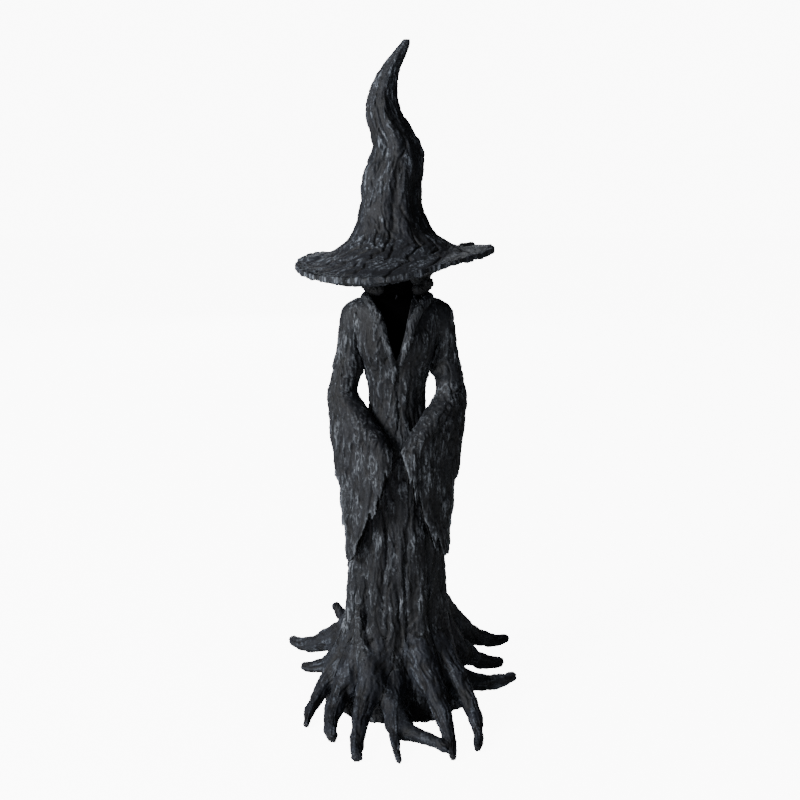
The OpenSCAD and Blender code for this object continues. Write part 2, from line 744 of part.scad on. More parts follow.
module battery_contacts() {
    low = tray_z[0] + 1.6;
    high = tray_z[1] - 1.6;
    color([0.8, 0.8, 0.8]) for (i = [-1:1]) translate([i * cell_pitch, cell_y, 0]) {
        up = i != 0;
        translate([-5, -5, low]) cube([10, 10, 0.4]);
        translate([-5, -5, high - 0.4]) cube([10, 10, 0.4]);
        rod_z(up ? 3.6 : 2, 0, 0, low + 0.4 - eps, cell_z);
        rod_z(up ? 1.5 : 3.6, 0, 0, cell_z + cell_h + nub_h, high - 0.4 + eps);
    }
}

module power_switch() {
    color([0.7, 0.7, 0.72]) difference() {
        translate([-switch_body_w / 2 + 0.1, switch_face_y - 5.6, switch_z - 3])
            cube([switch_body_w - 0.2, 5.6, 6]);
        translate([-2, switch_face_y - 2, switch_z - 2.1]) cube([4 + switch_travel, 3, 4.2]);
    }
}

module switch_knob() {
    color([0.08, 0.08, 0.08]) translate([-1.6, switch_face_y - 1.8, switch_z - 1.8])
        cube([3.2, 5.6, 3.6]);
}

// A lead that follows points as a tube of eight sides
module lead(points, r = 0.7) {
    n = len(points);
    function along(i) = let (d = points[min(i + 1, n - 1)] - points[max(i - 1, 0)]) d / norm(d);
    rings = [for (i = [0:n - 1]) let (d = along(i), s = abs(d[0]) < 0.7 ? [1, 0, 0] : [0, 1, 0],
        u = cross(d, s) / norm(cross(d, s)), v = cross(d, u))
        [for (k = [0:7]) points[i] + r * (cos(45 * k) * v + sin(45 * k) * u)]];
    skin(rings);
}

module battery_leads() {
    switch_back = switch_face_y - 5.6;
    color([0.6, 0.05, 0.05]) lead([[-20, 6, 150.1], [-21.5, 5, 153], [-23, 3, 158], [-23.3, 1, 166],
        [-22.6, -2, 173], [-20.8, -3.6, 177], [-19.5, -4, 179.2]]);
    color([0.05, 0.05, 0.05]) lead([[20, 8, 91.4], [19, 9, 88], [14, 14, 83], [7, 20, 79],
        [3.4, 23, 77], [3, switch_back, 76.6]]);
    color([0.05, 0.05, 0.05]) lead([[-3, switch_back, 76.6], [-4, 23, 77], [-12, 18, 79],
        [-21, 12, 84], [-26, 8, 92], [-26.5, 7, 110], [-26.2, 6, 140], [-24.5, 6, 154],
        [-22.8, 5.6, 166], [-21.8, 5.4, 173], [-20.6, 5, 177], [-19.5, 5, 179.2]]);
}

module motor_leads() {
    color([0.6, 0.05, 0.05]) lead([[motor_at[0] - 4.5, motor_at[1], 197.2],
        [motor_at[0] - 6, motor_at[1] + 0.5, 199.5], [-2, 8, 201.5], [-9, 6, 202.8],
        [-14, 2, 203.5], [-17, -3, 202.5], [-18.2, -5, 199], [-18, -5, 190], [-17.6, -5, 181.6]]);
    color([0.05, 0.05, 0.05]) lead([[motor_at[0] + 4.5, motor_at[1], 197.2],
        [motor_at[0] + 3, motor_at[1] + 1.5, 200], [6, 10.5, 202.4], [-3, 10, 204], [-11, 7.5, 205.3],
        [-15.5, 4.5, 205.4], [-18.4, 1.5, 203.6], [-19.2, -0.5, 199], [-18.6, -1.8, 190],
        [-18, -2, 181.6]]);
}

// ---- what is drawn ---------------------------------------------------------------------

for (i = [0:len(ROOTS) - 1]) root(i);
hat();
head_core();
hair();
collar_left();
collar_right();
throat_liner();
front_body_shell();
rear_body_shell();
left_sleeve();
right_sleeve();
battery_door();
door_pins();
broken_root_stub();
base_plate();
base_pad();
base_screws();
shell_screws();
neck_shaft();
thrust_collar();
shaft_clip();
neck_bush();
neck_bridge();
bridge_screws();
gearbox_base();
gearbox_cover();
gearbox_screws();
lower_bush();
sector_gear();
idler_gear();
idler_axle();
motor_pinion();
motor();
motor_shaft();
control_board();
board_components();
battery_tray();
tray_screws();
battery_cells();
battery_contacts();
power_switch();
switch_knob();
battery_leads();
motor_leads();
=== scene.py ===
"""Looks of the faceless witch figure: cast resin with a bark relief, on splayed roots."""
import json
import math

import bpy
import numpy as np
import openvdb as vdb
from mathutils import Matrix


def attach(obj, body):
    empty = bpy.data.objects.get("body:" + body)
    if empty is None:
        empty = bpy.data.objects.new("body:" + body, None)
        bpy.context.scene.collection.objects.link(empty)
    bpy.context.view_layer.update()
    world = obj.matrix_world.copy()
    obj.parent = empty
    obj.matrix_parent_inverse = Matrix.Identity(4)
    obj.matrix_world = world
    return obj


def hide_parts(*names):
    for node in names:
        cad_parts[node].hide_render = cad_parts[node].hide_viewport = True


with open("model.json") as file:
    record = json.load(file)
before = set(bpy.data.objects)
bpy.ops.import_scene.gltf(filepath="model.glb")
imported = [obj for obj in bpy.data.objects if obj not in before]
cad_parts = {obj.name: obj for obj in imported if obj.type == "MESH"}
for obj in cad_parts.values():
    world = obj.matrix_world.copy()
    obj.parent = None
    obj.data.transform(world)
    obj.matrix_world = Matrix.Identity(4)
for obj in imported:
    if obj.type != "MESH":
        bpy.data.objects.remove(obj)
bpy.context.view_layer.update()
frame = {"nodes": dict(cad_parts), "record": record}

# Lengths in this file are millimetres; MM turns them into Blender's metres.
MM = 0.001

# ---- outlines, close to those of the solids ---------------------------------------------

# Height, half width, half depth of the robe
BODY = [(0, 50, 46), (14, 47, 43), (30, 43, 39.5), (50, 39.5, 36), (76, 37.5, 33.5), (106, 36, 32),
        (140, 34.5, 30.5), (170, 32.5, 28.5), (200, 28.5, 25), (224, 23.5, 20.5), (246, 21.5, 18.5),
        (262, 24.5, 20), (278, 29, 21.5), (292, 33, 21.5), (303, 34.5, 20), (311, 32, 18),
        (316, 26, 16), (318, 21, 14)]
BODY_TOP = 318
WALL = 3
LEAST_WALL = 1.6

# Height, radius, sideways centre and depth centre of the hat's crown
CROWN = [(340, 62, 0, 0), (347, 52, 0, 0), (352, 43, -1, 0), (359, 34.5, -1, 0),
         (364, 30.4, -2.5, 0), (371, 26.6, -3.5, 0), (384, 22.5, -4.5, -0.5), (402, 21.8, -4, -1),
         (413, 21.2, -2.5, -1), (421, 18.8, -0.5, -1), (428, 17, -1, -0.5), (440, 14.8, -5.5, 0),
         (452, 12, -10, 1), (464, 9.9, -10, 1.5), (477, 7.6, -6.4, 2), (489, 5.5, 0.6, 2),
         (496, 4.1, 5, 2), (500, 2.6, 6.8, 2)]
# The brim: radius, shift to the side, middle height, thickness
BRIM_R = 72.5
BRIM_X = -2.5
BRIM_MID = 347.3
BRIM_T = 4.8

# Heading, reach, sweep, rise of the tip, radius at the body, radius of the tip, starting height
ROOTS = [(150, 124, -10, 3, 13, 3.4, 50), (161, 84, 1, 3, 12, 3.8, 30), (196, 93, 25, 0, 11.5, 2.6, 50),
         (219, 97, 20, 0, 12, 4.2, 42), (246, 112, 9, 0, 11.5, 3.8, 48), (266, 110, 5, 0, 9, 2.2, 30),
         (299, 114, -8, 0, 12, 2.8, 48), (325, 112, -23, 0, 12, 2.8, 50), (334, 84, -14, 0, 11, 3.6, 38),
         (338, 96, 16, 12, 11, 4, 24), (19, 99, 5, 0, 13.5, 3.8, 46), (41, 124, -3, 4, 14, 4.2, 74),
         (74, 104, 6, 0, 12.5, 4, 44), (104, 97, -6, 0, 12, 4, 46), (128, 88, 4, 0, 11, 4, 34)]
ROOT_START_R = 24
ROOT_STEPS = 10
# The offshoot that links the sixth root to its neighbour, and the broken stub: x, y, z, radius
LINK_ROOT = 5
LINK = [(-1, -72, 8.5, 6.8), (8, -79, 7.5, 6), (19, -84, 6.5, 5), (29, -90, 5.5, 4.2),
        (35, -95, 5, 3.8)]
STUB = [(-27, 20, 34, 8.5), (-38, 26, 43, 6.4), (-46, 30, 51, 5), (-50, 32, 57, 4)]

# The sleeves, right-hand side: height, outer point x y, inner point x y, half thickness
SLEEVE = [(316.5, 27, 0, 27, 0, 4), (313, 31, 0, 31, 0, 6.4), (308.5, 33.2, 0, 33.2, 0, 7.8),
          (300, 34, 0, 34, 0, 9), (290, 34.8, 0, 34.8, 0, 9.4), (276, 35.5, 1, 35.5, 1, 10.8),
          (269, 36.1, 0.5, 36.1, 0.5, 11.6), (262.5, 36.4, 0, 36.4, 0, 12.6),
          (256, 39.6, 0, 39.4, -0.5, 10.8),
          (246, 42.4, -2, 39, -6, 10.2), (237, 42.8, -4, 33, -13, 10),
          (226, 42.3, -6, 24.5, -21, 9.4), (216, 42.2, -8, 16.5, -28, 8.8), (207, 41.8, -9.5, 11, -32, 7.8),
          (198, 41, -10.5, 10, -34, 7.2), (184, 40.2, -12, 10.5, -36, 6.8), (166, 38.2, -14, 12, -37, 6.2),
          (146, 36, -16, 20, -36, 5.6), (128, 34.8, -19, 29, -31, 5), (116, 34.5, -22, 33, -27, 4)]
SLEEVE_WALL = 2.3
# Hems seen from the front, from the wrist down to the lowest tip and up the outer side
LEFT_HEM = [(0, 214), (-3.2, 207), (-3.4, 200), (-5.4, 193), (-7.4, 189), (-8.4, 194), (-10, 183),
            (-13, 173), (-14, 177), (-15.5, 163), (-18.4, 158), (-20, 163), (-25.5, 145), (-29, 138),
            (-32, 127), (-36, 119.8), (-38.6, 119.8), (-39.2, 128), (-40, 147), (-42.4, 142.5),
            (-43, 151), (-43.2, 176), (-45.4, 182), (-60, 190), (-70, 330), (0, 330)]
RIGHT_HEM = [(0, 212), (3.4, 206), (5, 201), (7.4, 196), (8.4, 190), (9.8, 182.6), (11.4, 190),
             (14.2, 166.8), (16, 178), (20.4, 156), (23, 152), (28.6, 133), (30.6, 142), (36, 125),
             (40.6, 123), (41.2, 137), (41.6, 153), (43.6, 154), (43.6, 180), (46, 184), (60, 190),
             (70, 330), (0, 330)]
# The V of the open collar
THROAT = [(-23, 324), (-15.5, 313), (-10.4, 306.5), (-7.8, 299), (-5.8, 288), (-2.4, 279), (-0.4, 272.5),
          (2, 280), (4.3, 288), (6.8, 298), (8.6, 308), (12, 324)]

# The battery door: half width, lower and upper edge, hinge line, and its knuckles: their
# distance to the side, their radius and the radius of the room around them
DOOR_HALF = 22
DOOR_LOW, DOOR_HIGH = 90, 150
DOOR_MID = (DOOR_LOW + DOOR_HIGH) / 2
HINGE_Y, HINGE_Z = 33.4, 89.6
KNUCKLE_X = 12
KNUCKLE_R = 1.5
KNUCKLE_ROOM = 1.9
# Middle of the switch's slot, and the screw pits: half spacing, height, depth of their floor
SWITCH_X, SWITCH_Z = 1.5, 76
SCREW_PITS = ((27, 72, 13), (17.8, 212, 4), (19.5, 272, 6))
SCREW_PIT_R = 2.8
# Where the shells and sleeves end above and below, and half the gap between the two shells
SHELL_TOP = 317.9
SHELL_FOOT = 0.2
HALF_GAP = 0.05

# Spacing of the sample points
STEP = 0.75


# ---- fields: negative inside, in millimetres --------------------------------------------

def curve(rows, z, k):
    """Column k of an outline at heights z, on a smooth curve through its rows."""
    rows = sorted(rows)
    h = np.array([r[0] for r in rows], dtype=np.float32)
    v = np.array([r[k] for r in rows], dtype=np.float32)
    s = np.gradient(v, h).astype(np.float32)
    s[1:-1] = (v[2:] - v[:-2]) / (h[2:] - h[:-2])
    i = np.clip(np.searchsorted(h, z, side="right") - 1, 0, len(h) - 2)
    w = h[i + 1] - h[i]
    t = np.clip((z - h[i]) / w, 0, 1).astype(np.float32)
    u = 1 - t
    return (u * u * (1 + 2 * t) * v[i] + t * t * (1 + 2 * u) * v[i + 1]
            + w * t * u * (u * s[i] - t * s[i + 1]))


def ramp(low, high, v):
    """A smooth step from 0 at low to 1 at high."""
    t = np.clip((v - low) / (high - low), 0, 1)
    return t * t * (3 - 2 * t)


def blend_min(a, b, k):
    """The union of two fields with a fillet of about k."""
    h = np.clip(0.5 + 0.5 * (b - a) / k, 0, 1)
    return b + (a - b) * h - k * h * (1 - h)


def tube(x, y, z, points):
    """A tapered tube through (x, y, z, radius) points, with round ends."""
    best = None
    for a, b in zip(points[:-1], points[1:]):
        d = [b[i] - a[i] for i in range(4)]
        ll = d[0] ** 2 + d[1] ** 2 + d[2] ** 2
        t = np.clip(((x - a[0]) * d[0] + (y - a[1]) * d[1] + (z - a[2]) * d[2]) / ll, 0, 1)
        r = np.sqrt((x - a[0] - t * d[0]) ** 2 + (y - a[1] - t * d[1]) ** 2
                    + (z - a[2] - t * d[2]) ** 2) - a[3] - t * d[3]
        best = r if best is None else np.minimum(best, r)
    return best


def polygon(px, pz, points):
    """Distance to a closed outline in a plane, negative inside."""
    best = np.full(np.broadcast(px, pz).shape, 1e9, dtype=np.float32)
    inside = np.zeros(best.shape, dtype=bool)
    for i, (ax, az) in enumerate(points):
        bx, bz = points[i - 1]
        ex, ez = bx - ax, bz - az
        t = np.clip(((px - ax) * ex + (pz - az) * ez) / (ex * ex + ez * ez), 0, 1)
        best = np.minimum(best, (px - ax - t * ex) ** 2 + (pz - az - t * ez) ** 2)
        crosses = (az > pz) != (bz > pz)
        if ez:
            inside ^= crosses & (px < ax + (pz - az) * ex / ez)
    return np.where(inside, -1, 1) * np.sqrt(best)


def root_line(i):
    """Centreline of root i as (x, y, z, radius) points."""
    heading, reach, sweep, rise, base, tip, start = ROOTS[i]
    points = []
    for k in range(ROOT_STEPS + 1):
        t = k / ROOT_STEPS
        r = ROOT_START_R + (reach - tip - ROOT_START_R) * t
        a = math.radians(heading + sweep * t * t)
        q = base + (tip - base) * t
        points.append((r * math.cos(a), r * math.sin(a), q + start * (1 - t) ** 1.8 + rise * t * t, q))
    return points


def vein_line(i):
    """The ridge of root i where it climbs the trunk."""
    heading, _, _, _, base, _, start = ROOTS[i]
    a = math.radians(heading)
    top = 55 + start * 1.4
    points = []
    for t, out, q in ((1, -4, 2.5), (0.72, -2, 4.5), (0.45, -0.5, 6), (0.2, 2, base * 0.7)):
        z = top * t
        e = math.hypot(math.cos(a) / float(curve(BODY, z, 1)), math.sin(a) / float(curve(BODY, z, 2)))
        points.append(((1 / e + out) * math.cos(a), (1 / e + out) * math.sin(a), z, q))
    return points


# Deep furrows of the skirt: heading in radians and the height where each dies out
GROOVES = [(math.radians(h), top) for h, top in (
    (157, 110), (180, 150), (207, 175), (229, 125), (252, 190), (270, 120), (283, 165), (312, 200),
    (330, 130), (351, 160), (8, 120), (30, 175), (58, 140), (89, 180), (116, 130), (139, 190))]
ROOT_LINES = [root_line(i) for i in range(len(ROOTS))]
VEINS = [vein_line(i) for i in range(len(ROOTS))]
# A knotted strand that lies across the front of the trunk
STRAND = [(-29, -24, 82, 2.5), (-28, -31, 66, 4.2), (-26, -38, 52, 5), (-20, -46, 38, 4.6),
          (-12, -53, 27, 4.4), (-3, -60, 19, 3.4), (5, -66, 12, 2.4)]


def ellipse(x, y, rx, ry):
    """Distance to an ellipse, close to true near its edge."""
    a = np.sqrt((x / rx) ** 2 + (y / ry) ** 2)
    b = np.sqrt((x / rx ** 2) ** 2 + (y / ry ** 2) ** 2) + 1e-6
    return a * (a - 1) / b


def plain_body(x, y, z, grow=0.0):
    """The robe as the solids have it, without folds."""
    d = ellipse(x, y, curve(BODY, z, 1) + grow, curve(BODY, z, 2) + grow)
    return np.maximum(d, np.maximum(z - BODY_TOP, -z))


def trunk(x, y, z):
    """The robe with its folds, its bust and the ridges that run down into the roots."""
    a = np.arctan2(y, x)
    low = ramp(230, 60, z)
    fold = (0.8 * np.cos(7 * a + 0.6 + z * 0.012) + 0.7 * np.cos(11 * a - 1.1 - z * 0.02)
            + 0.6 * np.cos(17 * a + 2.0 + z * 0.03)) * (0.2 + 0.8 * low)
    d = ellipse(x, y, curve(BODY, z, 1), curve(BODY, z, 2)) - fold - 0.6 * low
    wide = 2.0 * ramp(190, 95, z)
    groove = np.zeros(np.broadcast(a, z).shape, dtype=np.float32)
    for k, (turn, top) in enumerate(GROOVES):
        off = (a - turn - 0.05 * np.sin(z * 0.045 + 2.1 * k) + math.pi) % (2 * math.pi) - math.pi
        groove = np.maximum(groove, np.exp(-(off * 36 / 2.0) ** 2) * ramp(top, top - 40, z))
    d = d - wide + 3.4 * groove * ramp(2, 30, z)
    bust = np.sqrt((np.abs(x + 0.5) - 12.5) ** 2 + (y + 11) ** 2 + ((z - 285) * 0.8) ** 2) - 12.4
    d = blend_min(d, bust, 9)
    seam = np.exp(-((x - 0.6 - 0.7 * np.sin(z * 0.17)) / 0.9) ** 2) * ramp(0, -8, y)
    d = d + 1.5 * seam * ramp(208, 224, z) * ramp(277, 270, z)
    for line in VEINS:
        d = blend_min(d, tube(x, y, z, line), 4.5)
    d = blend_min(d, tube(x, y, z, STRAND), 2.5)
    return d - 8 * ramp(36, -6, z) ** 1.5


def joined(d_trunk, x, y, z, roots):
    """The trunk with the given roots, webbed together close to it."""
    near = ramp(45, 4, d_trunk)
    d = root(x, y, z, roots[0])
    for i in roots[1:]:
        d = blend_min(d, root(x, y, z, i), 2 + 6 * near)
    return blend_min(d_trunk, d, 10)


def root(x, y, z, i):
    d = tube(x, y, z, ROOT_LINES[i])
    if i == LINK_ROOT:
        d = blend_min(d, tube(x, y, z, LINK), 5)
    return d


def armpit(z):
    """Size of the fillet between sleeve and robe: large at the shoulder and at the elbow."""
    return 0.5 + 9 * ramp(284, 300, z) + 5 * ramp(258, 246, z) * ramp(226, 236, z)


def sleeve(x, y, z, hem, side):
    """A bell sleeve, hollow up to the wrist, cut along its ragged hem."""
    rows = SLEEVE
    sx = x * side
    ax, ay = curve(rows, z, 1), curve(rows, z, 2)
    bx, by = curve(rows, z, 3), curve(rows, z, 4)
    r = curve(rows, z, 5)
    ex, ey = bx - ax, by - ay
    t = np.clip(((sx - ax) * ex + (y - ay) * ey) / (ex * ex + ey * ey + 1e-3), 0, 1)
    flat = np.sqrt((sx - ax - t * ex) ** 2 + (y - ay - t * ey) ** 2)
    fold = 0.8 * np.cos(9.0 * t + 0.7 * side) * ramp(228, 190, z) + 0.5 * np.cos(21.0 * t + z * 0.02)
    r = r + fold * ramp(250, 215, z)
    outer = np.maximum(flat - r, z - 316.2)
    inner = flat - (r - SLEEVE_WALL) * ramp(203, 188, z) + 3 * ramp(186, 204, z)
    front = polygon(x, z, hem)
    rear = polygon(x, z, [(px - side * (1.5 + 1.5 * math.sin(3.1 * k)), pz + 3 * math.sin(2.3 * k) - 2)
                          if 2 < k < len(hem) - 3 else (px, pz) for k, (px, pz) in enumerate(hem)])
    behind = (sx - ax - t * ex) * -ey + (y - ay - t * ey) * ex
    keep = np.where(behind > 0, front, rear)
    return outer, inner, keep


# ---- noise ------------------------------------------------------------------------------

def hashed(i, j, k, seed):
    """A scattered whole number for each cell."""
    n = (i * 73856093) ^ (j * 19349663) ^ (k * 83492791) ^ (seed * 2654435)
    n &= 0xffffffff
    n ^= n >> 15
    n = (n * 1274126177) & 0xffffffff
    return n ^ (n >> 16)


def noise(p, seed=0):
    """Gradient noise, about -1 to 1, at points p of shape (n, 3)."""
    cell = np.floor(p).astype(np.int64)
    f = (p - cell).astype(np.float32)
    w = f * f * f * (f * (f * 6 - 15) + 10)
    total = np.zeros(len(p), dtype=np.float32)
    for di in (0, 1):
        for dj in (0, 1):
            for dk in (0, 1):
                h = hashed(cell[:, 0] + di, cell[:, 1] + dj, cell[:, 2] + dk, seed)
                gx = (h & 255) / 127.5 - 1
                gy = ((h >> 8) & 255) / 127.5 - 1
                gz = ((h >> 16) & 255) / 127.5 - 1
                dot = gx * (f[:, 0] - di) + gy * (f[:, 1] - dj) + gz * (f[:, 2] - dk)
                total += (dot * (w[:, 0] if di else 1 - w[:, 0]) * (w[:, 1] if dj else 1 - w[:, 1])
                          * (w[:, 2] if dk else 1 - w[:, 2])).astype(np.float32)
    return total * 1.5


# How many times longer than wide the marks of the bark are
GRAIN = 5.5


def bark(g, p, amount=1.0, seed=0):
    """Relief in mm and highlight 0 to 1, from grain coordinates g and places p.

    The third column of g runs along the grain, and is squeezed so marks come out long."""
    q = g * np.array([1, 1, 1 / GRAIN])
    warp = np.stack([noise(g / 16 + 3, seed + 1), noise(g / 16 + 9, seed + 2),
                     noise(g / 16 + 5, seed + 3) * 0.4], 1)
    q = q + 2.6 * warp
    # overlapping strips: a slow climb, then a sudden edge
    strip = noise(q / 8.0, seed + 4) * 2.0 + noise(q / 4.0, seed + 5) * 0.4
    saw = strip - np.floor(strip)
    edge = np.where(saw < 0.9, saw / 0.9, (1 - saw) / 0.1)
    # raised threads and dark cracks
    gate = ramp(-0.3, 0.25, noise(g * np.array([1, 1, 0.4]) / 9, seed + 11))
    thread = np.clip(1 - 3.6 * np.abs(noise(q / 3.2, seed + 6)), 0, 1)
    hair = np.clip(1 - 3.2 * np.abs(noise(q / 1.9, seed + 12)), 0, 1)
    crack = np.clip(1 - 6.0 * np.abs(noise(q / 7.0, seed + 7)), 0, 1)
    fibre = noise(q / 1.4, seed + 8)
    lumps = noise(p / 2.8, seed + 9)
    fine = noise(p / 1.2, seed + 10)
    h = ((edge - 0.5) + (0.95 * thread + 0.45 * hair) * (0.3 + 0.7 * gate) - 1.15 * crack
         + 0.24 * fibre + 0.32 * lumps + 0.24 * fine - 0.25)
    lit = np.clip((0.95 * thread ** 2 + 0.5 * hair ** 2) * gate + 0.8 * ramp(0.84, 0.99, edge) * gate
                  + 0.3 * lumps + 0.55 * fine - 1.2 * crack - 0.05, 0, 1)
    return h * amount, ramp(0.08, 0.8, lit)


# ---- meshes -----------------------------------------------------------------------------

class Block:
    """A box of sample points, as three arrays that broadcast together."""

    def __init__(self, low, high, step=None):
        self.step = step or STEP
        self.low = low
        axes = [np.arange(a, b + self.step, self.step, dtype=np.float32) for a, b in zip(low, high)]
        self.x = axes[0][:, None, None]
        self.y = axes[1][None, :, None]
        self.z = axes[2][None, None, :]


def build(name, block, field, dress, material, body="figure"):
    """Turns a field into a closed mesh, gives it its relief, and makes the object."""
    reach = 3 * block.step
    values = np.clip(field, -reach, reach).astype(np.float32)
    for axis in range(3):
        edge = [slice(None)] * 3
        for end in (0, -1):
            edge[axis] = end
            values[tuple(edge)] = reach
    grid = vdb.FloatGrid(reach)
    grid.copyFromArray(values)
    points, _, quads = grid.convertToPolygons(0.0, 0.0)
    points = points * block.step + np.array(block.low, dtype=np.float32)
    used = np.unique(quads)
    remap = np.zeros(len(points), dtype=np.int64)
    remap[used] = np.arange(len(used))
    points, quads = points[used], remap[quads]
    a, b, c, d = (points[quads[:, k]] for k in range(4))
    turn = np.einsum("ij,ij->i", np.cross(c - a, d - b), (a + b + c + d)).sum()
    if turn < 0:
        quads = quads[:, ::-1]
    mesh = bpy.data.meshes.new(name)
    write_mesh(mesh, points, quads)
    normal = np.empty(len(points) * 3, dtype=np.float32)
    mesh.vertex_normals.foreach_get("vector", normal)
    normal = normal.reshape(-1, 3)
    height, lit = dress(points, normal)
    mesh.vertices.foreach_set("co", ((points + normal * height[:, None]) * MM).ravel())
    mesh.attributes.new("lit", "FLOAT", "POINT").data.foreach_set("value", lit.astype(np.float32))
    # painted shade: this attribute is the relief height, pushed lower where lit is negative on inner and
    # cut faces, so the resin paints the cracks dark and those faces darkest
    mesh.attributes.new("depth", "FLOAT", "POINT").data.foreach_set(
        "value", (height + 1.4 * np.minimum(lit, 0)).astype(np.float32))
    mesh.polygons.foreach_set("use_smooth", [True] * len(mesh.polygons))
    mesh.update()
    obj = bpy.data.objects.new(name, mesh)
    bpy.context.scene.collection.objects.link(obj)
    mesh.materials.append(material)
    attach(obj, body)
    return obj


def write_mesh(mesh, points, quads):
    n = len(quads)
    mesh.vertices.add(len(points))
    mesh.vertices.foreach_set("co", (points * MM).astype(np.float32).ravel())
    mesh.loops.add(n * 4)
    mesh.loops.foreach_set("vertex_index", quads.astype(np.int32).ravel())
    mesh.polygons.add(n)
    mesh.polygons.foreach_set("loop_start", np.arange(0, n * 4, 4, dtype=np.int32))
    mesh.update(calc_edges=True)
    mesh.validate()


# ---- materials --------------------------------------------------------------------------

# Sockets of a colour Mix node: first colour, second colour, result
MIX_A, MIX_B, MIX_RESULT = 6, 7, 2


def nodes_of(name):
    material = bpy.data.materials.new(name)
    material.use_nodes = True
    tree = material.node_tree
    return material, tree, tree.nodes["Principled BSDF"]


def add(tree, kind, **values):
    node = tree.nodes.new(kind)
    for key, value in values.items():
        if key in node.inputs:
            node.inputs[key].default_value = value
        else:
            setattr(node, key, value)
    return node


def colour_ramp(tree, stops):
    node = tree.nodes.new("ShaderNodeValToRGB")
    band = node.color_ramp
    while len(band.elements) < len(stops):
        band.elements.new(0.5)
    for element, (place, rgb) in zip(band.elements, stops):
        element.position = place
        element.color = (*rgb, 1)
    return node


def resin(name, dark, mid, pale, strength=1.0):
    """Charcoal cast resin with painted shade, darker in the cracks and on inner faces and lighter on the
    raised places, and a pale grey dry-brushed on the high places.
    """
    material, tree, shader = nodes_of(name)
    link = tree.links.new
    place = add(tree, "ShaderNodeTexCoord")
    lit = add(tree, "ShaderNodeAttribute", attribute_name="lit")
    depth = add(tree, "ShaderNodeAttribute", attribute_name="depth")
    patch = add(tree, "ShaderNodeTexNoise", Scale=38.0, Detail=3.0, Roughness=0.6)
    speck = add(tree, "ShaderNodeTexNoise", Scale=1100.0, Detail=3.0, Roughness=0.7)
    scratch = add(tree, "ShaderNodeTexNoise", Scale=620.0, Detail=4.0, Roughness=0.65)
    squeeze = add(tree, "ShaderNodeMapping")
    squeeze.inputs["Scale"].default_value = (1, 1, 0.16)
    link(place.outputs["Object"], patch.inputs["Vector"])
    link(place.outputs["Object"], speck.inputs["Vector"])
    link(place.outputs["Object"], squeeze.inputs["Vector"])
    link(squeeze.outputs["Vector"], scratch.inputs["Vector"])

    # painted shade: the depth attribute runs a ramp from the darkest colour in the cracks and on inner
    # faces to a lighter one on the raised places
    base = add(tree, "ShaderNodeMapRange", clamp=True)
    base.inputs["From Min"].default_value = -0.95
    base.inputs["From Max"].default_value = 1.0
    link(depth.outputs["Fac"], base.inputs["Value"])
    tone = colour_ramp(tree, [(0.1, dark), (0.55, mid), (1.0, [c * 1.35 for c in mid])])
    link(base.outputs["Result"], tone.inputs["Fac"])

    rub = add(tree, "ShaderNodeMath", operation="MULTIPLY_ADD", use_clamp=True)
    link(scratch.outputs["Fac"], rub.inputs[0])
    rub.inputs[1].default_value = 2.9
    rub.inputs[2].default_value = -1.14
    soft = add(tree, "ShaderNodeMath", operation="MULTIPLY_ADD", use_clamp=True)
    link(lit.outputs["Fac"], soft.inputs[0])
    soft.inputs[1].default_value = 0.84
    soft.inputs[2].default_value = 0.05
    brushed = add(tree, "ShaderNodeMath", operation="MULTIPLY")
    link(soft.outputs[0], brushed.inputs[0])
    link(rub.outputs[0], brushed.inputs[1])
    spread = add(tree, "ShaderNodeMapRange", clamp=True)
    spread.inputs["From Min"].default_value = 0.36
    spread.inputs["From Max"].default_value = 0.62
    spread.inputs["To Min"].default_value = 0.55 * strength
    spread.inputs["To Max"].default_value = 1.5 * strength
    link(patch.outputs["Fac"], spread.inputs["Value"])
    rubbed = add(tree, "ShaderNodeMath", operation="MULTIPLY", use_clamp=True)
    link(brushed.outputs[0], rubbed.inputs[0])
    link(spread.outputs["Result"], rubbed.inputs[1])

    mix = add(tree, "ShaderNodeMix", data_type="RGBA")
    link(rubbed.outputs[0], mix.inputs["Factor"])
    link(tone.outputs["Color"], mix.inputs[MIX_A])
    mix.inputs[MIX_B].default_value = (*pale, 1)
    link(mix.outputs[MIX_RESULT], shader.inputs["Base Color"])

    rough = add(tree, "ShaderNodeMapRange", clamp=True)
    rough.inputs["To Min"].default_value = 0.5
    rough.inputs["To Max"].default_value = 0.78
    link(speck.outputs["Fac"], rough.inputs["Value"])
    link(rough.outputs["Result"], shader.inputs["Roughness"])
    shader.inputs["Specular IOR Level"].default_value = 0.3

    grit = add(tree, "ShaderNodeMath", operation="ADD")
    link(speck.outputs["Fac"], grit.inputs[0])
    link(scratch.outputs["Fac"], grit.inputs[1])
    bump = add(tree, "ShaderNodeBump", Strength=0.5, Distance=0.0005)
    link(grit.outputs[0], bump.inputs["Height"])
    link(bump.outputs["Normal"], shader.inputs["Normal"])
    return material


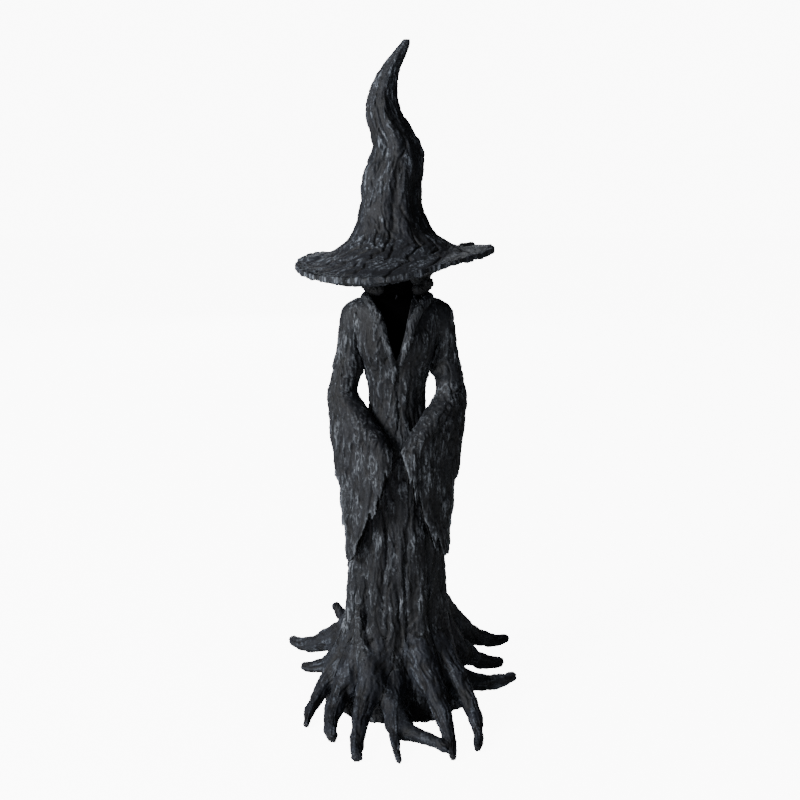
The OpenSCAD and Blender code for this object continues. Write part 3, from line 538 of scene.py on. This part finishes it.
def moulded(name, rgb, rough=0.5, spread=0.12, metallic=0.0, scale=260.0, bump=0.25, stretch=(1, 1, 1),
            shine=0.5):
    """A plain moulded, turned or plated finish with a fine surface and slight unevenness."""
    material, tree, shader = nodes_of(name)
    link = tree.links.new
    place = add(tree, "ShaderNodeTexCoord")
    squeeze = add(tree, "ShaderNodeMapping")
    squeeze.inputs["Scale"].default_value = stretch
    link(place.outputs["Object"], squeeze.inputs["Vector"])
    fine = add(tree, "ShaderNodeTexNoise", Scale=scale * 8, Detail=3.0, Roughness=0.6)
    broad = add(tree, "ShaderNodeTexNoise", Scale=scale, Detail=2.0, Roughness=0.5)
    link(squeeze.outputs["Vector"], fine.inputs["Vector"])
    link(squeeze.outputs["Vector"], broad.inputs["Vector"])
    tone = colour_ramp(tree, [(0.3, [c * 0.82 for c in rgb]), (0.7, [min(1, c * 1.14) for c in rgb])])
    link(broad.outputs["Fac"], tone.inputs["Fac"])
    link(tone.outputs["Color"], shader.inputs["Base Color"])
    shader.inputs["Metallic"].default_value = metallic
    shader.inputs["Specular IOR Level"].default_value = shine
    gloss = add(tree, "ShaderNodeMapRange", clamp=True)
    gloss.inputs["To Min"].default_value = max(0.05, rough - spread)
    gloss.inputs["To Max"].default_value = rough + spread
    link(fine.outputs["Fac"], gloss.inputs["Value"])
    link(gloss.outputs["Result"], shader.inputs["Roughness"])
    grain = add(tree, "ShaderNodeBump", Strength=bump, Distance=0.0001)
    link(fine.outputs["Fac"], grain.inputs["Height"])
    link(grain.outputs["Normal"], shader.inputs["Normal"])
    return material


# colours: painted shade for the cracks and inner faces, the resin itself, and the dry-brushed pale grey
bark_resin = resin("bark_resin", (0.0018, 0.002, 0.003), (0.0058, 0.0069, 0.0102),
                   (0.2, 0.22, 0.25))
hat_resin = resin("hat_resin", (0.002, 0.0022, 0.0034), (0.0056, 0.0068, 0.011),
                  (0.21, 0.237, 0.28))
root_resin = resin("root_resin", (0.0016, 0.0018, 0.003), (0.0072, 0.0088, 0.0138),
                   (0.15, 0.172, 0.21), 0.8)
hair_resin = resin("hair_resin", (0.0015, 0.0015, 0.002), (0.005, 0.0055, 0.007),
                   (0.05, 0.055, 0.065))


# ---- the robe, its roots and the sleeves ------------------------------------------------

def nearest_root(p):
    """For points p: distance to the nearest root's line, and grain coordinates along it."""
    best = np.full(len(p), 1e9, dtype=np.float32)
    grain = np.zeros((len(p), 3), dtype=np.float32)
    for i, line in enumerate(ROOT_LINES):
        run = 0.0
        for a, b in zip(line[:-1], line[1:]):
            a3, d = np.array(a[:3]), np.array(b[:3]) - np.array(a[:3])
            length = np.linalg.norm(d)
            t = np.clip((p - a3) @ d / length ** 2, 0, 1)
            off = p - a3 - t[:, None] * d
            r = np.linalg.norm(off, axis=1) - (a[3] + t * (b[3] - a[3]))
            closer = r < best
            side = np.array([-d[1], d[0], 0]) / math.hypot(d[0], d[1])
            up = np.cross(d / length, side)
            scale = 8 / np.maximum(np.linalg.norm(off, axis=1), 3)
            g = np.stack([(off @ side) * scale, (off @ up) * scale + 40 * i, run + t * length], 1)
            best[closer] = r[closer]
            grain[closer] = g[closer]
            run += length
    return best, grain


# Knot holes: x, y, z, radius
KNOTS = [(-36, -41, 21, 3.8), (47, -41, 19, 6), (-23, -47, 38, 2.4), (56, 20, 53, 2.2)]


def robe_relief(points, normal):
    """Bark on the robe and roots, with knot holes; nothing on inner or cut faces."""
    d_trunk = trunk(points[:, 0], points[:, 1], points[:, 2])
    near, along = nearest_root(points)
    h_body, lit_body = bark(points, points, 0.75)
    h_body = calm(h_body, points, normal)
    h_root, lit_root = bark(along, points, 0.6, 40)
    h_root = h_root + 1.1 * noise(points / 10, 60)
    w = ramp(-1.5, 6, d_trunk - near * 0.5) * ramp(95, 55, points[:, 2])
    h = h_body * (1 - w) + h_root * w
    lit = lit_body * (1 - w) + lit_root * w
    for kx, ky, kz, r in KNOTS:
        away = np.sqrt((points[:, 0] - kx) ** 2 + (points[:, 1] - ky) ** 2 + (points[:, 2] - kz) ** 2)
        rim = np.exp(-((away - r) / 1.3) ** 2)
        pit = ramp(r, r * 0.4, away)
        h = h * (1 - pit) + 1.5 * rim - 3.2 * pit
        lit = np.clip(lit + 0.5 * rim - pit, 0, 1)
    return h, lit


def outer_only(relief, is_outer):
    """A relief that fades out where is_outer is 0, with painted shade that turns those inner and cut faces
    dark.
    """
    def dress(points, normal):
        h, lit = relief(points, normal)
        w = is_outer(points)
        return h * w, lit * w - (1 - w)
    return dress


# How deep the bonded pieces sink into the robe, and how far neighbours lap over each other
SEAM = 1.3
LAP = 0.35
ALL = list(range(len(ROOTS)))


def skin_weight(field, tolerance=0.9):
    """1 on the outer surface of a field, 0 on faces that lie inside it."""
    def weight(p):
        return ramp(-tolerance, -0.25 * tolerance, field(p[:, 0], p[:, 1], p[:, 2]))
    return weight


def near_roots(i):
    """The two roots on each side of root i."""
    n = len(ROOTS)
    return [(i - 2) % n, (i - 1) % n, (i + 1) % n, (i + 2) % n]


def make_root(i):
    line = ROOT_LINES[i] + (LINK if i == LINK_ROOT else [])
    pad = 8
    low = [min(p[k] - p[3] for p in line) - pad for k in range(3)]
    high = [max(p[k] + p[3] for p in line) + pad for k in range(3)]
    low[2] = -2
    block = Block(low, high)
    x, y, z = block.x, block.y, block.z
    d_trunk = trunk(x, y, z)
    own = root(x, y, z, i)
    group = sorted([i] + near_roots(i))
    all_d = joined(d_trunk, x, y, z, group)
    rest = None
    for j in near_roots(i):
        d = root(x, y, z, j) - LAP * 0.5
        rest = d if rest is None else np.minimum(rest, d)
    field = np.maximum(all_d, SEAM - LAP - d_trunk)
    field = np.maximum(field, (own - rest) * 0.7)
    field = np.maximum(field, -z + SHELL_FOOT)
    name = "bark_root_%02d" % (i + 1)

    def field_at(px, py, pz):
        return joined(trunk(px, py, pz), px, py, pz, group)
    obj = build(name, block, field, outer_only(robe_relief, skin_weight(field_at)),
                root_resin)
    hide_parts("root_%02d" % (i + 1))


def shell(front):
    """The front or the rear half of the hollow robe."""
    block = Block((-68, -66 if front else -4, -2), (68, 4 if front else 64, BODY_TOP + 3))
    x, y, z = block.x, block.y, block.z
    d_trunk = trunk(x, y, z)
    roots = [i for i in ALL if (ROOT_LINES[i][3][1] < 12 if front else ROOT_LINES[i][3][1] > -12)]
    low = int(125 / block.step)
    d = d_trunk.copy()
    d[:, :, :low] = joined(d_trunk[:, :, :low], x, y, z[:, :, :low], roots)
    high = int(285 / block.step)
    for side, hem in ((-1, LEFT_HEM), (1, RIGHT_HEM)):
        arm = sleeve(x, y, z[:, :, high:], hem, side)[0]
        d[:, :, high:] = np.minimum(d[:, :, high:], blend_min(arm, d_trunk[:, :, high:],
                                                              armpit(z[:, :, high:])))
    field = np.maximum(d, d_trunk - SEAM)
    field = np.maximum(field, -np.maximum(plain_body(x, y, z, -WALL), d_trunk + LEAST_WALL))
    return block, x, y, z, d, field


def robe_weight(p):
    """1 on the bark of the robe and roots, 0 on faces inside it."""
    return skin_weight(lambda x, y, z: joined(trunk(x, y, z), x, y, z, ALL), 1.2)(p)


def throat_cut(x, y, z, grow=0.0):
    """The open V of the collar, cut from the front."""
    return np.maximum(polygon(x, z, THROAT) - grow, y + 1)


def neck_stand(x, y, z, side):
    """A low ring inside the collar that closes the neck behind and beside the void."""
    ring = np.maximum(np.abs(np.sqrt(x * x + y * y) - 16) - 0.9, np.abs(z - 318) - 2.2)
    ring = np.maximum(ring, 0.05 - side * y)
    return np.maximum(ring, -throat_cut(x, y, z, 1))


def front_shell():
    block, x, y, z, _, field = shell(True)
    field = np.maximum(field, y + HALF_GAP)
    field = np.maximum(field, -throat_cut(x, y, z))
    field = np.maximum(field, z - SHELL_TOP)
    field = np.maximum(field, -z + SHELL_FOOT)
    field = np.minimum(field, neck_stand(x, y, z, -1))

    def on_skin(p):
        return robe_weight(p) * ramp(0.4, -0.6, p[:, 1])
    obj = build("robe_front", block, field, outer_only(robe_relief, on_skin), bark_resin)
    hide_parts("front_body_shell")


def from_hinge(y, z):
    return np.sqrt((y - HINGE_Y) ** 2 + (z - HINGE_Z) ** 2)


def rear_shell():
    block, x, y, z, d, field = shell(False)
    field = np.maximum(field, -y + HALF_GAP)
    field = np.maximum(field, z - SHELL_TOP)
    field = np.maximum(field, -z + SHELL_FOOT)
    field = np.minimum(field, neck_stand(x, y, z, 1))
    gap = 0.6
    opening = np.maximum(np.abs(x) - DOOR_HALF - gap,
                         np.maximum(DOOR_LOW - gap - z, z - DOOR_HIGH - gap))
    opening = np.maximum(opening, 5 - y)
    field = np.maximum(field, -opening)
    for half, height, meet in SCREW_PITS:
        ring = np.sqrt((np.abs(x) - half) ** 2 + (z - height) ** 2)
        field = np.maximum(field, -np.maximum(ring - SCREW_PIT_R, meet + WALL - y))
        boss = np.maximum(ring - 3.6, np.maximum(d, meet - y))
        boss = np.maximum(boss, -np.maximum(ring - SCREW_PIT_R, meet + WALL - y))
        field = np.minimum(field, boss)
    # both edges at the hinge are bevelled, so the door can fall open past the bark
    below = (y - HINGE_Y - 0.3 + 1.2 * (z - HINGE_Z + 1.5)) / 1.56
    field = np.maximum(field, -np.maximum(-below, np.maximum(np.abs(x) - 23, np.abs(z - 86) - 6)))
    hinge = from_hinge(y, z)
    across = np.abs(np.abs(x) - KNUCKLE_X)
    field = np.minimum(field, np.maximum(hinge - KNUCKLE_R, across - 6))
    field = np.maximum(field, -np.maximum(hinge - KNUCKLE_ROOM, across - 2.3))
    slot = np.maximum(np.abs(x - SWITCH_X) - 3.7, np.abs(z - SWITCH_Z) - 2.3)
    field = np.maximum(field, -np.maximum(slot, 20 - y))

    def on_skin(p):
        px, py, pz = p.T
        w = robe_weight(p) * ramp(-0.4, 0.6, py)
        return w * ramp(3.6, 5.2, np.sqrt((px - SWITCH_X) ** 2 + (pz - SWITCH_Z) ** 2))
    obj = build("robe_rear", block, field, outer_only(robe_relief, on_skin), bark_resin)
    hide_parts("rear_body_shell")


def make_door():
    block = Block((-25, 12, 86), (25, 40, 153))
    x, y, z = block.x, block.y, block.z
    skin = trunk(x, y, z)
    field = np.maximum(skin, -plain_body(x, y, z, -WALL))
    field = np.maximum(field, np.maximum(np.abs(x) - DOOR_HALF, np.abs(z - DOOR_MID) - 30))
    nail = np.sqrt((x * 0.5) ** 2 + (y - 31.5) ** 2 + (z - 150.5) ** 2) - 3.6
    field = np.maximum(field, -nail)
    field = np.maximum(field, (y - HINGE_Y - 0.6 - 1.1 * (z - HINGE_Z)) / 1.49)
    hinge = from_hinge(y, z)
    across = np.abs(np.abs(x) - KNUCKLE_X)
    field = np.maximum(field, -np.maximum(hinge - KNUCKLE_ROOM, across - 6.3))
    web = np.maximum(np.abs(y - 32.2) - 1.2, np.abs(z - 91.4) - 1.6)
    field = np.minimum(field, np.maximum(np.minimum(hinge - KNUCKLE_R, web), across - 2))

    def door_skin(p):
        return (skin_weight(trunk, 1.2)(p) * ramp(22.1, 20.6, np.abs(p[:, 0]))
                * ramp(30.1, 28.6, np.abs(p[:, 2] - DOOR_MID)))
    obj = build("bark_door", block, field, outer_only(robe_relief, door_skin), bark_resin,
                "door")
    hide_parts("battery_door")


def calm(h, points, normal):
    """Less relief on faces that look up, and towards the shoulders."""
    return h * (1 - 0.55 * ramp(0.3, 0.9, np.abs(normal[:, 2]))) * (1 - 0.6 * ramp(285, 310, points[:, 2]))


def sleeve_relief(points, normal):
    h, lit = bark(points + np.array([0, 0, 400.0]), points, 0.68, 80)
    return calm(h, points, normal), lit


def make_sleeve(side):
    hem = RIGHT_HEM if side > 0 else LEFT_HEM
    low = (-2 if side > 0 else -58, -48, 112)
    high = (58 if side > 0 else 2, 16, 318)
    block = Block(low, high)
    x, y, z = block.x, block.y, block.z
    outer, inner, keep = sleeve(x, y, z, hem, side)
    d_trunk = trunk(x, y, z)
    field = blend_min(outer, d_trunk, armpit(z))
    field = np.maximum(field, SEAM - LAP - d_trunk)
    field = np.maximum(field, outer - 14 * ramp(284, 300, z) - 0.4
                       - 3 * ramp(258, 246, z) * ramp(226, 236, z))
    field = np.maximum(field, -inner)
    field = np.maximum(field, keep)
    field = np.maximum(field, z - SHELL_TOP)

    def on_skin(p):
        j = blend_min(sleeve(*p.T, hem, side)[0], trunk(*p.T), armpit(p[:, 2]))
        return 0.25 + 0.75 * ramp(-0.9, -0.2, j)

    def hemmed(points, normal):
        h, lit = sleeve_relief(points, normal)
        edge = sleeve(*points.T, hem, side)[2]
        return h, np.clip(lit + 0.9 * np.exp(-((edge + 0.5) / 1.1) ** 2), 0, 1)
    name = "right_sleeve" if side > 0 else "left_sleeve"
    obj = build("bell_" + name, block, field, outer_only(hemmed, on_skin), bark_resin)
    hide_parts(name)


def neck_cone(z):
    """Radius the turning hair stays inside, where it meets the standing collar."""
    return 20.4 + 1.35 * (z - 319.6)


def lapel_relief(points, _):
    h, lit = bark(points + np.array([50.0, 0, 0]), points, 0.6, 120)
    return h, np.clip(lit + 0.25, 0, 1)


def make_collar(side):
    path = [(1, 15.2, 314.6, 3.4), (11, 14.2, 315.2, 3.4), (19, 9.5, 316.4, 3.5), (23.2, 3, 317.6, 3.7),
            (22.6, -5, 317.4, 3.8), (20, -12, 315, 3.8), (15.8, -18.2, 309.8, 3.6),
            (11.6, -21.2, 301, 3.4), (9.2, -24.2, 291, 2.8), (6, -26, 281, 2.2), (3, -25, 271, 1.5)]
    path = [(side * p[0], *p[1:]) for p in path]
    xs = [p[0] for p in path]
    block = Block((min(xs) - 6, -30, 264), (max(xs) + 6, 22, 323), STEP * 0.75)
    x, y, z = block.x, block.y, block.z
    d = tube(x, y, z, path)
    d_trunk = trunk(x, y, z)
    field = np.maximum(blend_min(d, d_trunk, 2), SEAM - LAP - d_trunk)
    field = np.maximum(field, d - 2.5)
    field = np.maximum(field, -throat_cut(x, y, z, -0.4))
    clear = neck_cone(z) + 0.8 - np.sqrt(x * x + y * y)
    field = np.maximum(field, np.minimum(z - 318.4, clear * 0.6))
    field = np.maximum(field, 0.2 - side * x)

    def on_skin(p):
        j = blend_min(tube(*p.T, path), trunk(*p.T), 2)
        return ramp(-0.9, -0.2, j)
    name = "collar_right" if side > 0 else "collar_left"
    obj = build("robe_" + name, block, field, outer_only(lapel_relief, on_skin),
                bark_resin)
    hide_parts(name)


def make_stub():
    block = Block((-58, 8, 24), (-18, 42, 72), STEP * 0.8)
    x, y, z = block.x, block.y, block.z
    d = tube(x, y, z, STUB)
    d_trunk = trunk(x, y, z)
    field = np.maximum(blend_min(d, d_trunk, 4), SEAM - LAP - d_trunk)
    field = np.maximum(field, d - 3)
    for i in (0, 1, 14):
        field = np.maximum(field, -root(x, y, z, i) + 0.2)

    def on_skin(p):
        j = blend_min(tube(*p.T, STUB), trunk(*p.T), 4)
        return ramp(-0.9, -0.2, j)
    relief = outer_only(lambda p, n: bark(p, p, 0.55, 140), on_skin)
    obj = build("bark_root_stub", block, field, relief, root_resin)
    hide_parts("broken_root_stub")


# ---- hat and hair -----------------------------------------------------------------------

def brim_height(a):
    return BRIM_MID + 5.8 * np.cos(a) + 4.2 * np.sin(a) + 2.1 * np.cos(2 * a) - 2.4 * np.sin(2 * a)


def brim_edge(a):
    """Distance from the hat's axis to the ragged edge of the brim."""
    return (BRIM_R + BRIM_X * np.cos(a) + 0.6 * np.sin(3 * a + 1) + 0.5 * np.sin(8 * a + 2)
            + 0.4 * np.sin(17 * a) * np.sin(5 * a + 1) + 0.35 * np.sin(41 * a + 2 * np.sin(6 * a)))


def hat_field(x, y, z):
    a = np.arctan2(y, x)
    r = np.sqrt(x * x + y * y)
    cx, cy = curve(CROWN, z, 2), curve(CROWN, z, 3)
    rc = curve(CROWN, z, 1)
    ac = np.arctan2(y - cy, x - cx)
    fold = 0.9 * np.cos(5 * ac + z * 0.03) + 0.6 * np.cos(9 * ac + 2 - z * 0.045)
    # the crown is pinched where it bends over, and steps out below that on the left
    pinch = 1.6 * np.exp(-((z - 418 - 5 * np.cos(ac + 0.4)) / 3.2) ** 2) * ramp(0.2, -0.8, np.cos(ac))
    crown = np.sqrt((x - cx) ** 2 + (y - cy) ** 2) - rc - fold * ramp(500, 440, z) + pinch
    crown = crown * np.where(z > 372, 0.98, 0.72)
    tilt = ramp(26, 66, r)
    top = BRIM_MID + 2.6 + (brim_height(a) - BRIM_MID - 2.6) * tilt + 7.5 * ramp(56, 28, r)
    thick = BRIM_T * (0.9 + 0.1 * np.cos(3 * a)) + ramp(60, 40, r)
    wave = 0.7 * np.sin(5 * a + 0.5) * ramp(40, 68, r)
    brim = np.maximum(np.abs(z - (top - thick / 2 + wave)) - thick / 2, r - brim_edge(a))
    crown = np.maximum(crown, top - thick - z)
    return np.maximum(blend_min(brim, crown, 9), z - 500)


def hat_grain(p):
    """Grain runs down the crown and out over the brim, swept a little round."""
    x, y, z = p.T
    cx, cy = curve(CROWN, z, 2) * ramp(345, 385, z), curve(CROWN, z, 3) * ramp(345, 385, z)
    rx, ry = x - cx, y - cy
    r = np.sqrt(rx * rx + ry * ry)
    a = np.arctan2(ry, rx) + 0.55 * ramp(28, 75, r)
    wide = 17 + 0.5 * np.maximum(r - 17, 0)
    along = np.where(r > 24, r - 24, 0) + (500 - z) * ramp(330, 372, z)
    return np.stack([wide * np.cos(a), wide * np.sin(a), along], 1)


def hat_relief(points, normal):
    h, lit = bark(hat_grain(points), points, 0.66, 200)
    x, y, z = points.T
    a = np.arctan2(y, x)
    r = np.sqrt(x * x + y * y)
    h = h * (0.75 + 0.25 * ramp(500, 440, z)) * ramp(506, 486, z)
    # long cracks that leave the crown and sweep out over the brim
    swept = a + 0.55 * ramp(28, 75, r) + 0.16 * noise(np.stack([r / 7, 3 * a, z / 40], 1), 220)
    cracks = np.zeros_like(r)
    for turn, start in ((-148, 44), (-131, 30), (-116, 24), (-101, 26), (-88, 34), (-66, 24), (-40, 30),
                        (-8, 26), (34, 30), (72, 24), (110, 30), (140, 26), (172, 40)):
        off = (swept - math.radians(turn) + math.pi) % (2 * math.pi) - math.pi
        cracks = np.maximum(cracks, np.exp(-(off * r / 1.1) ** 2) * ramp(start, start + 6, r))
    h = h * (1 - 0.45 * ramp(30, 46, r))
    h = h - 1.9 * cracks * ramp(400, 385, z)
    lit = np.clip(lit - cracks, 0, 1)
    # torn flaps on top at the right and at the left end
    for fx, fy, wide, deep, tall in ((53, 26, 6, 10, 2.6), (44, 33, 4, 5, 1.4), (-62, 8, 9, 7, 1.8)):
        flap = ramp(1.25, 0.8, np.sqrt(((x - fx) / wide) ** 2 + ((y - fy) / deep) ** 2))
        h = h + tall * flap * ramp(0.1, 0.6, normal[:, 2])
    # the frayed rim: short strokes across its edge
    rim = ramp(-5.0, -1.6, r - brim_edge(a))
    ring = np.stack([np.cos(a) * BRIM_R, np.sin(a) * BRIM_R, z * 0.25], 1)
    stroke = noise(ring / 1.25, 230)
    coarse = noise(ring / 3.6, 231)
    h = h * (1 - 0.5 * rim) + rim * (0.55 * stroke + 0.9 * coarse)
    side = ramp(0.75, 0.35, np.abs(normal[:, 2])) * ramp(-5, -1, r - brim_edge(a))
    hatch = np.clip(0.1 + 2.4 * stroke, 0, 1) * (0.3 + 0.7 * ramp(0.4, -0.7, np.cos(a + 0.7)))
    lit = lit * (1 - side) + 2.2 * side * hatch
    bore = ramp(21, 25, r + np.where(z > 352, 40, 0))
    return h * bore, lit * bore


def make_hat():
    block = Block((-76, -76, 322), (75, 75, 503), 0.72)
    x, y, z = block.x, block.y, block.z
    field = hat_field(x, y, z)
    core = np.maximum(np.sqrt(x * x + y * y) - 14.1, z - 384.1)
    field = np.maximum(field, -core)
    obj = build("bark_hat", block, field, hat_relief, hat_resin, "head")
    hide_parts("hat")


# Curls behind and beside the head: heading, height, distance out, radius
CURLS = [(-46, 333, 19, 4.4), (-40, 325, 19.5, 4.6), (-30, 337, 20.5, 5), (-24, 329, 21, 4.8),
         (-12, 337, 21.5, 5.4), (-4, 328, 21.5, 5.6),
         (18, 335, 21, 5.6), (26, 326, 21.5, 5.2), (48, 334, 21, 6), (62, 326, 21, 5.2),
         (80, 334, 21, 6), (95, 326, 21.5, 5.4), (112, 335, 21, 6), (128, 326.5, 21, 5.2),
         (146, 334, 21, 5.6), (160, 326, 21.5, 5.4), (178, 335, 21.5, 5.4), (192, 327, 21.5, 5.2),
         (204, 336, 20.5, 5), (210, 328, 21, 4.8), (220, 333, 20, 4.8), (226, 325, 20, 4.8)]


def make_hair():
    block = Block((-30, -24, 318), (30, 30, 344), STEP * 0.7)
    x, y, z = block.x, block.y, block.z
    r = np.sqrt(x * x + y * y)
    a = np.arctan2(y, x)
    cap = np.maximum(np.abs(r - 20) - 2.6, np.abs(z - 331) - 9.5)
    cap = np.maximum(cap, -y - 12)
    nape = np.maximum(np.abs(r - 20.5) - 3.6, np.maximum(np.abs(z - 322) - 2.4, -y - 7))
    field = np.minimum(cap, nape)
    for heading, height, out, q in CURLS:
        t = math.radians(heading)
        ball = np.sqrt((x - out * math.cos(t)) ** 2 + (y - out * math.sin(t)) ** 2
                       + (z - height) ** 2) - q
        field = blend_min(field, ball, 1.6)
    field = np.maximum(field, 17.6 - r)
    field = np.maximum(field, np.maximum(319.6 - z, z - 341.6))
    field = np.maximum(field, (r - neck_cone(z)) * 0.6)

    def curl_relief(points, _):
        best = np.full(len(points), 1e9)
        swirl = np.zeros(len(points))
        for k, (heading, height, out, q) in enumerate(CURLS):
            t = math.radians(heading)
            c = np.array([out * math.cos(t), out * math.sin(t), height])
            off = points - c
            away = np.linalg.norm(off, axis=1) - q
            tangent = np.array([-math.sin(t), math.cos(t), 0])
            turn = np.arctan2(off[:, 2], off @ tangent)
            radius = np.hypot(off[:, 2], off @ tangent)
            ring = np.sin(radius * 2.6 + turn + k)
            closer = away < best
            best[closer] = away[closer]
            swirl[closer] = ring[closer]
        h = 0.45 * swirl + 0.15 * noise(points / 1.6, 301)
        rr = np.hypot(points[:, 0], points[:, 1])
        w = ramp(18.2, 20, rr) * ramp(322, 325, points[:, 2]) * ramp(341.4, 340, points[:, 2])
        return h * w, np.clip(0.45 * swirl + 0.05, 0, 1) * w
    obj = build("curled_hair", block, field, curl_relief, hair_resin, "head")
    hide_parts("hair")


make_hat()
make_hair()
front_shell()
rear_shell()
make_door()
for side in (-1, 1):
    make_sleeve(side)
    make_collar(side)
for i in ALL:
    make_root(i)
make_stub()

# ---- finishes of the CAD pieces that stay -----------------------------------------------

FINISHES = {
    "black_void": moulded("black_void", (0.0012, 0.0012, 0.0014), 0.92, 0.06, bump=0.1, shine=0.02),
    "base_plastic": moulded("base_plastic", (0.02, 0.02, 0.021), 0.62, 0.12, scale=420, bump=0.5),
    "pad_foam": moulded("pad_foam", (0.03, 0.03, 0.033), 0.9, 0.06, scale=900, bump=0.9),
    "screw_steel": moulded("screw_steel", (0.5, 0.5, 0.52), 0.34, 0.1, 1.0, bump=0.15),
    "shaft_steel": moulded("shaft_steel", (0.06, 0.06, 0.065), 0.42, 0.08, 1.0, bump=0.1,
                           stretch=(1, 1, 12)),
    "bush_brass": moulded("bush_brass", (0.62, 0.42, 0.16), 0.3, 0.1, 1.0, bump=0.12,
                          stretch=(1, 1, 14)),
    "gearbox_plastic": moulded("gearbox_plastic", (0.012, 0.012, 0.013), 0.6, 0.1, bump=0.3, shine=0.25),
    "gear_plastic": moulded("gear_plastic", (0.66, 0.62, 0.52), 0.36, 0.08, scale=180, bump=0.15),
    "motor_can": moulded("motor_can", (0.56, 0.56, 0.58), 0.3, 0.1, 1.0, bump=0.12,
                         stretch=(1, 1, 10)),
    "cell_wrap": moulded("cell_wrap", (0.05, 0.055, 0.07), 0.26, 0.08, scale=120, bump=0.1),
    "board_green": moulded("board_green", (0.012, 0.09, 0.04), 0.3, 0.1, scale=300, bump=0.3),
    "component_black": moulded("component_black", (0.012, 0.012, 0.012), 0.5, 0.12, bump=0.3),
    "lead_pvc": moulded("lead_pvc", (0.25, 0.02, 0.02), 0.38, 0.08, bump=0.2),
}
replaced = {"hat", "hair", "front_body_shell", "rear_body_shell", "battery_door", "left_sleeve",
            "right_sleeve", "collar_left", "collar_right", "broken_root_stub"}
replaced |= {"root_%02d" % (i + 1) for i in ALL}
for part in frame["record"]["subparts"]:
    if part["node"] in replaced:
        continue
    for spot in frame["nodes"][part["node"]].material_slots:
        spot.material = FINISHES[part["material_slot"]]

# ---- floor, light and camera ------------------------------------------------------------

# What the camera sees of the floor and the background, and how strongly the background lights
FLOOR_GLOW = 9.8
SKY_SEEN = 10.0
SKY_LIGHT = 0.045


def add_glow(tree, shader_out, strength):
    """Adds a plain white glow that only the camera sees, so the setting stays bright."""
    path = add(tree, "ShaderNodeLightPath")
    level = add(tree, "ShaderNodeMath", operation="MULTIPLY")
    tree.links.new(path.outputs["Is Camera Ray"], level.inputs[0])
    level.inputs[1].default_value = strength
    glow = add(tree, "ShaderNodeEmission")
    glow.inputs["Color"].default_value = (1, 1, 1, 1)
    tree.links.new(level.outputs[0], glow.inputs["Strength"])
    both = add(tree, "ShaderNodeAddShader")
    tree.links.new(shader_out, both.inputs[0])
    tree.links.new(glow.outputs[0], both.inputs[1])
    return both.outputs[0]


bpy.ops.mesh.primitive_plane_add(size=14, location=(0, 0, -0.0002))
floor = bpy.context.object
floor.name = "floor"
paper, tree, shader = nodes_of("pale_paper")
mottle = add(tree, "ShaderNodeTexNoise", Scale=3.0, Detail=2.0)
paper_tone = colour_ramp(tree, [(0.2, (0.88, 0.88, 0.88)), (0.8, (0.9, 0.9, 0.9))])
tree.links.new(mottle.outputs["Fac"], paper_tone.inputs["Fac"])
tree.links.new(paper_tone.outputs["Color"], shader.inputs["Base Color"])
shader.inputs["Roughness"].default_value = 0.9
tree.links.new(add_glow(tree, shader.outputs[0], FLOOR_GLOW),
               tree.nodes["Material Output"].inputs["Surface"])
floor.data.materials.append(paper)

world = bpy.data.worlds.new("studio")
bpy.context.scene.world = world
world.use_nodes = True
tree = world.node_tree
path = add(tree, "ShaderNodeLightPath")
level = add(tree, "ShaderNodeMath", operation="MULTIPLY_ADD")
tree.links.new(path.outputs["Is Camera Ray"], level.inputs[0])
level.inputs[1].default_value = SKY_SEEN
level.inputs[2].default_value = SKY_LIGHT
tree.links.new(level.outputs[0], tree.nodes["Background"].inputs["Strength"])
tree.nodes["Background"].inputs["Color"].default_value = (1, 1, 1, 1)


def area(name, place, target, size, power, tint=(1, 1, 1)):
    """A round soft light that faces its target; lengths in metres."""
    data = bpy.data.lights.new(name, "AREA")
    data.shape = "DISK"
    data.size = size
    data.energy = power
    data.color = tint
    obj = bpy.data.objects.new(name, data)
    bpy.context.scene.collection.objects.link(obj)
    obj.location = place
    d = [t - p for t, p in zip(target, place)]
    obj.rotation_euler = (math.atan2(math.hypot(d[0], d[1]), -d[2]), 0, math.atan2(-d[0], d[1]))


area("key", (-1.6, -1.1, 1.0), (0, 0, 0.26), 0.7, 68)
area("front", (-0.6, -2.0, 0.35), (0, 0, 0.15), 1.0, 5, (0.85, 0.92, 1))
area("top", (-0.2, -0.1, 1.9), (0, 0, 0.3), 1.2, 4)
area("back", (-0.3, 2.2, 0.9), (0, 0, 0.25), 1.4, 16, (0.9, 0.95, 1))

camera = bpy.data.cameras.new("camera")
camera.sensor_width = 36
camera.lens = 45.4
camera.shift_x = 3 / 800
view = bpy.data.objects.new("camera", camera)
bpy.context.scene.collection.objects.link(view)
view.location = (0, -0.75, 0.4)
view.rotation_euler = (math.radians(90 - 12.1), 0, 0)
bpy.context.scene.camera = view
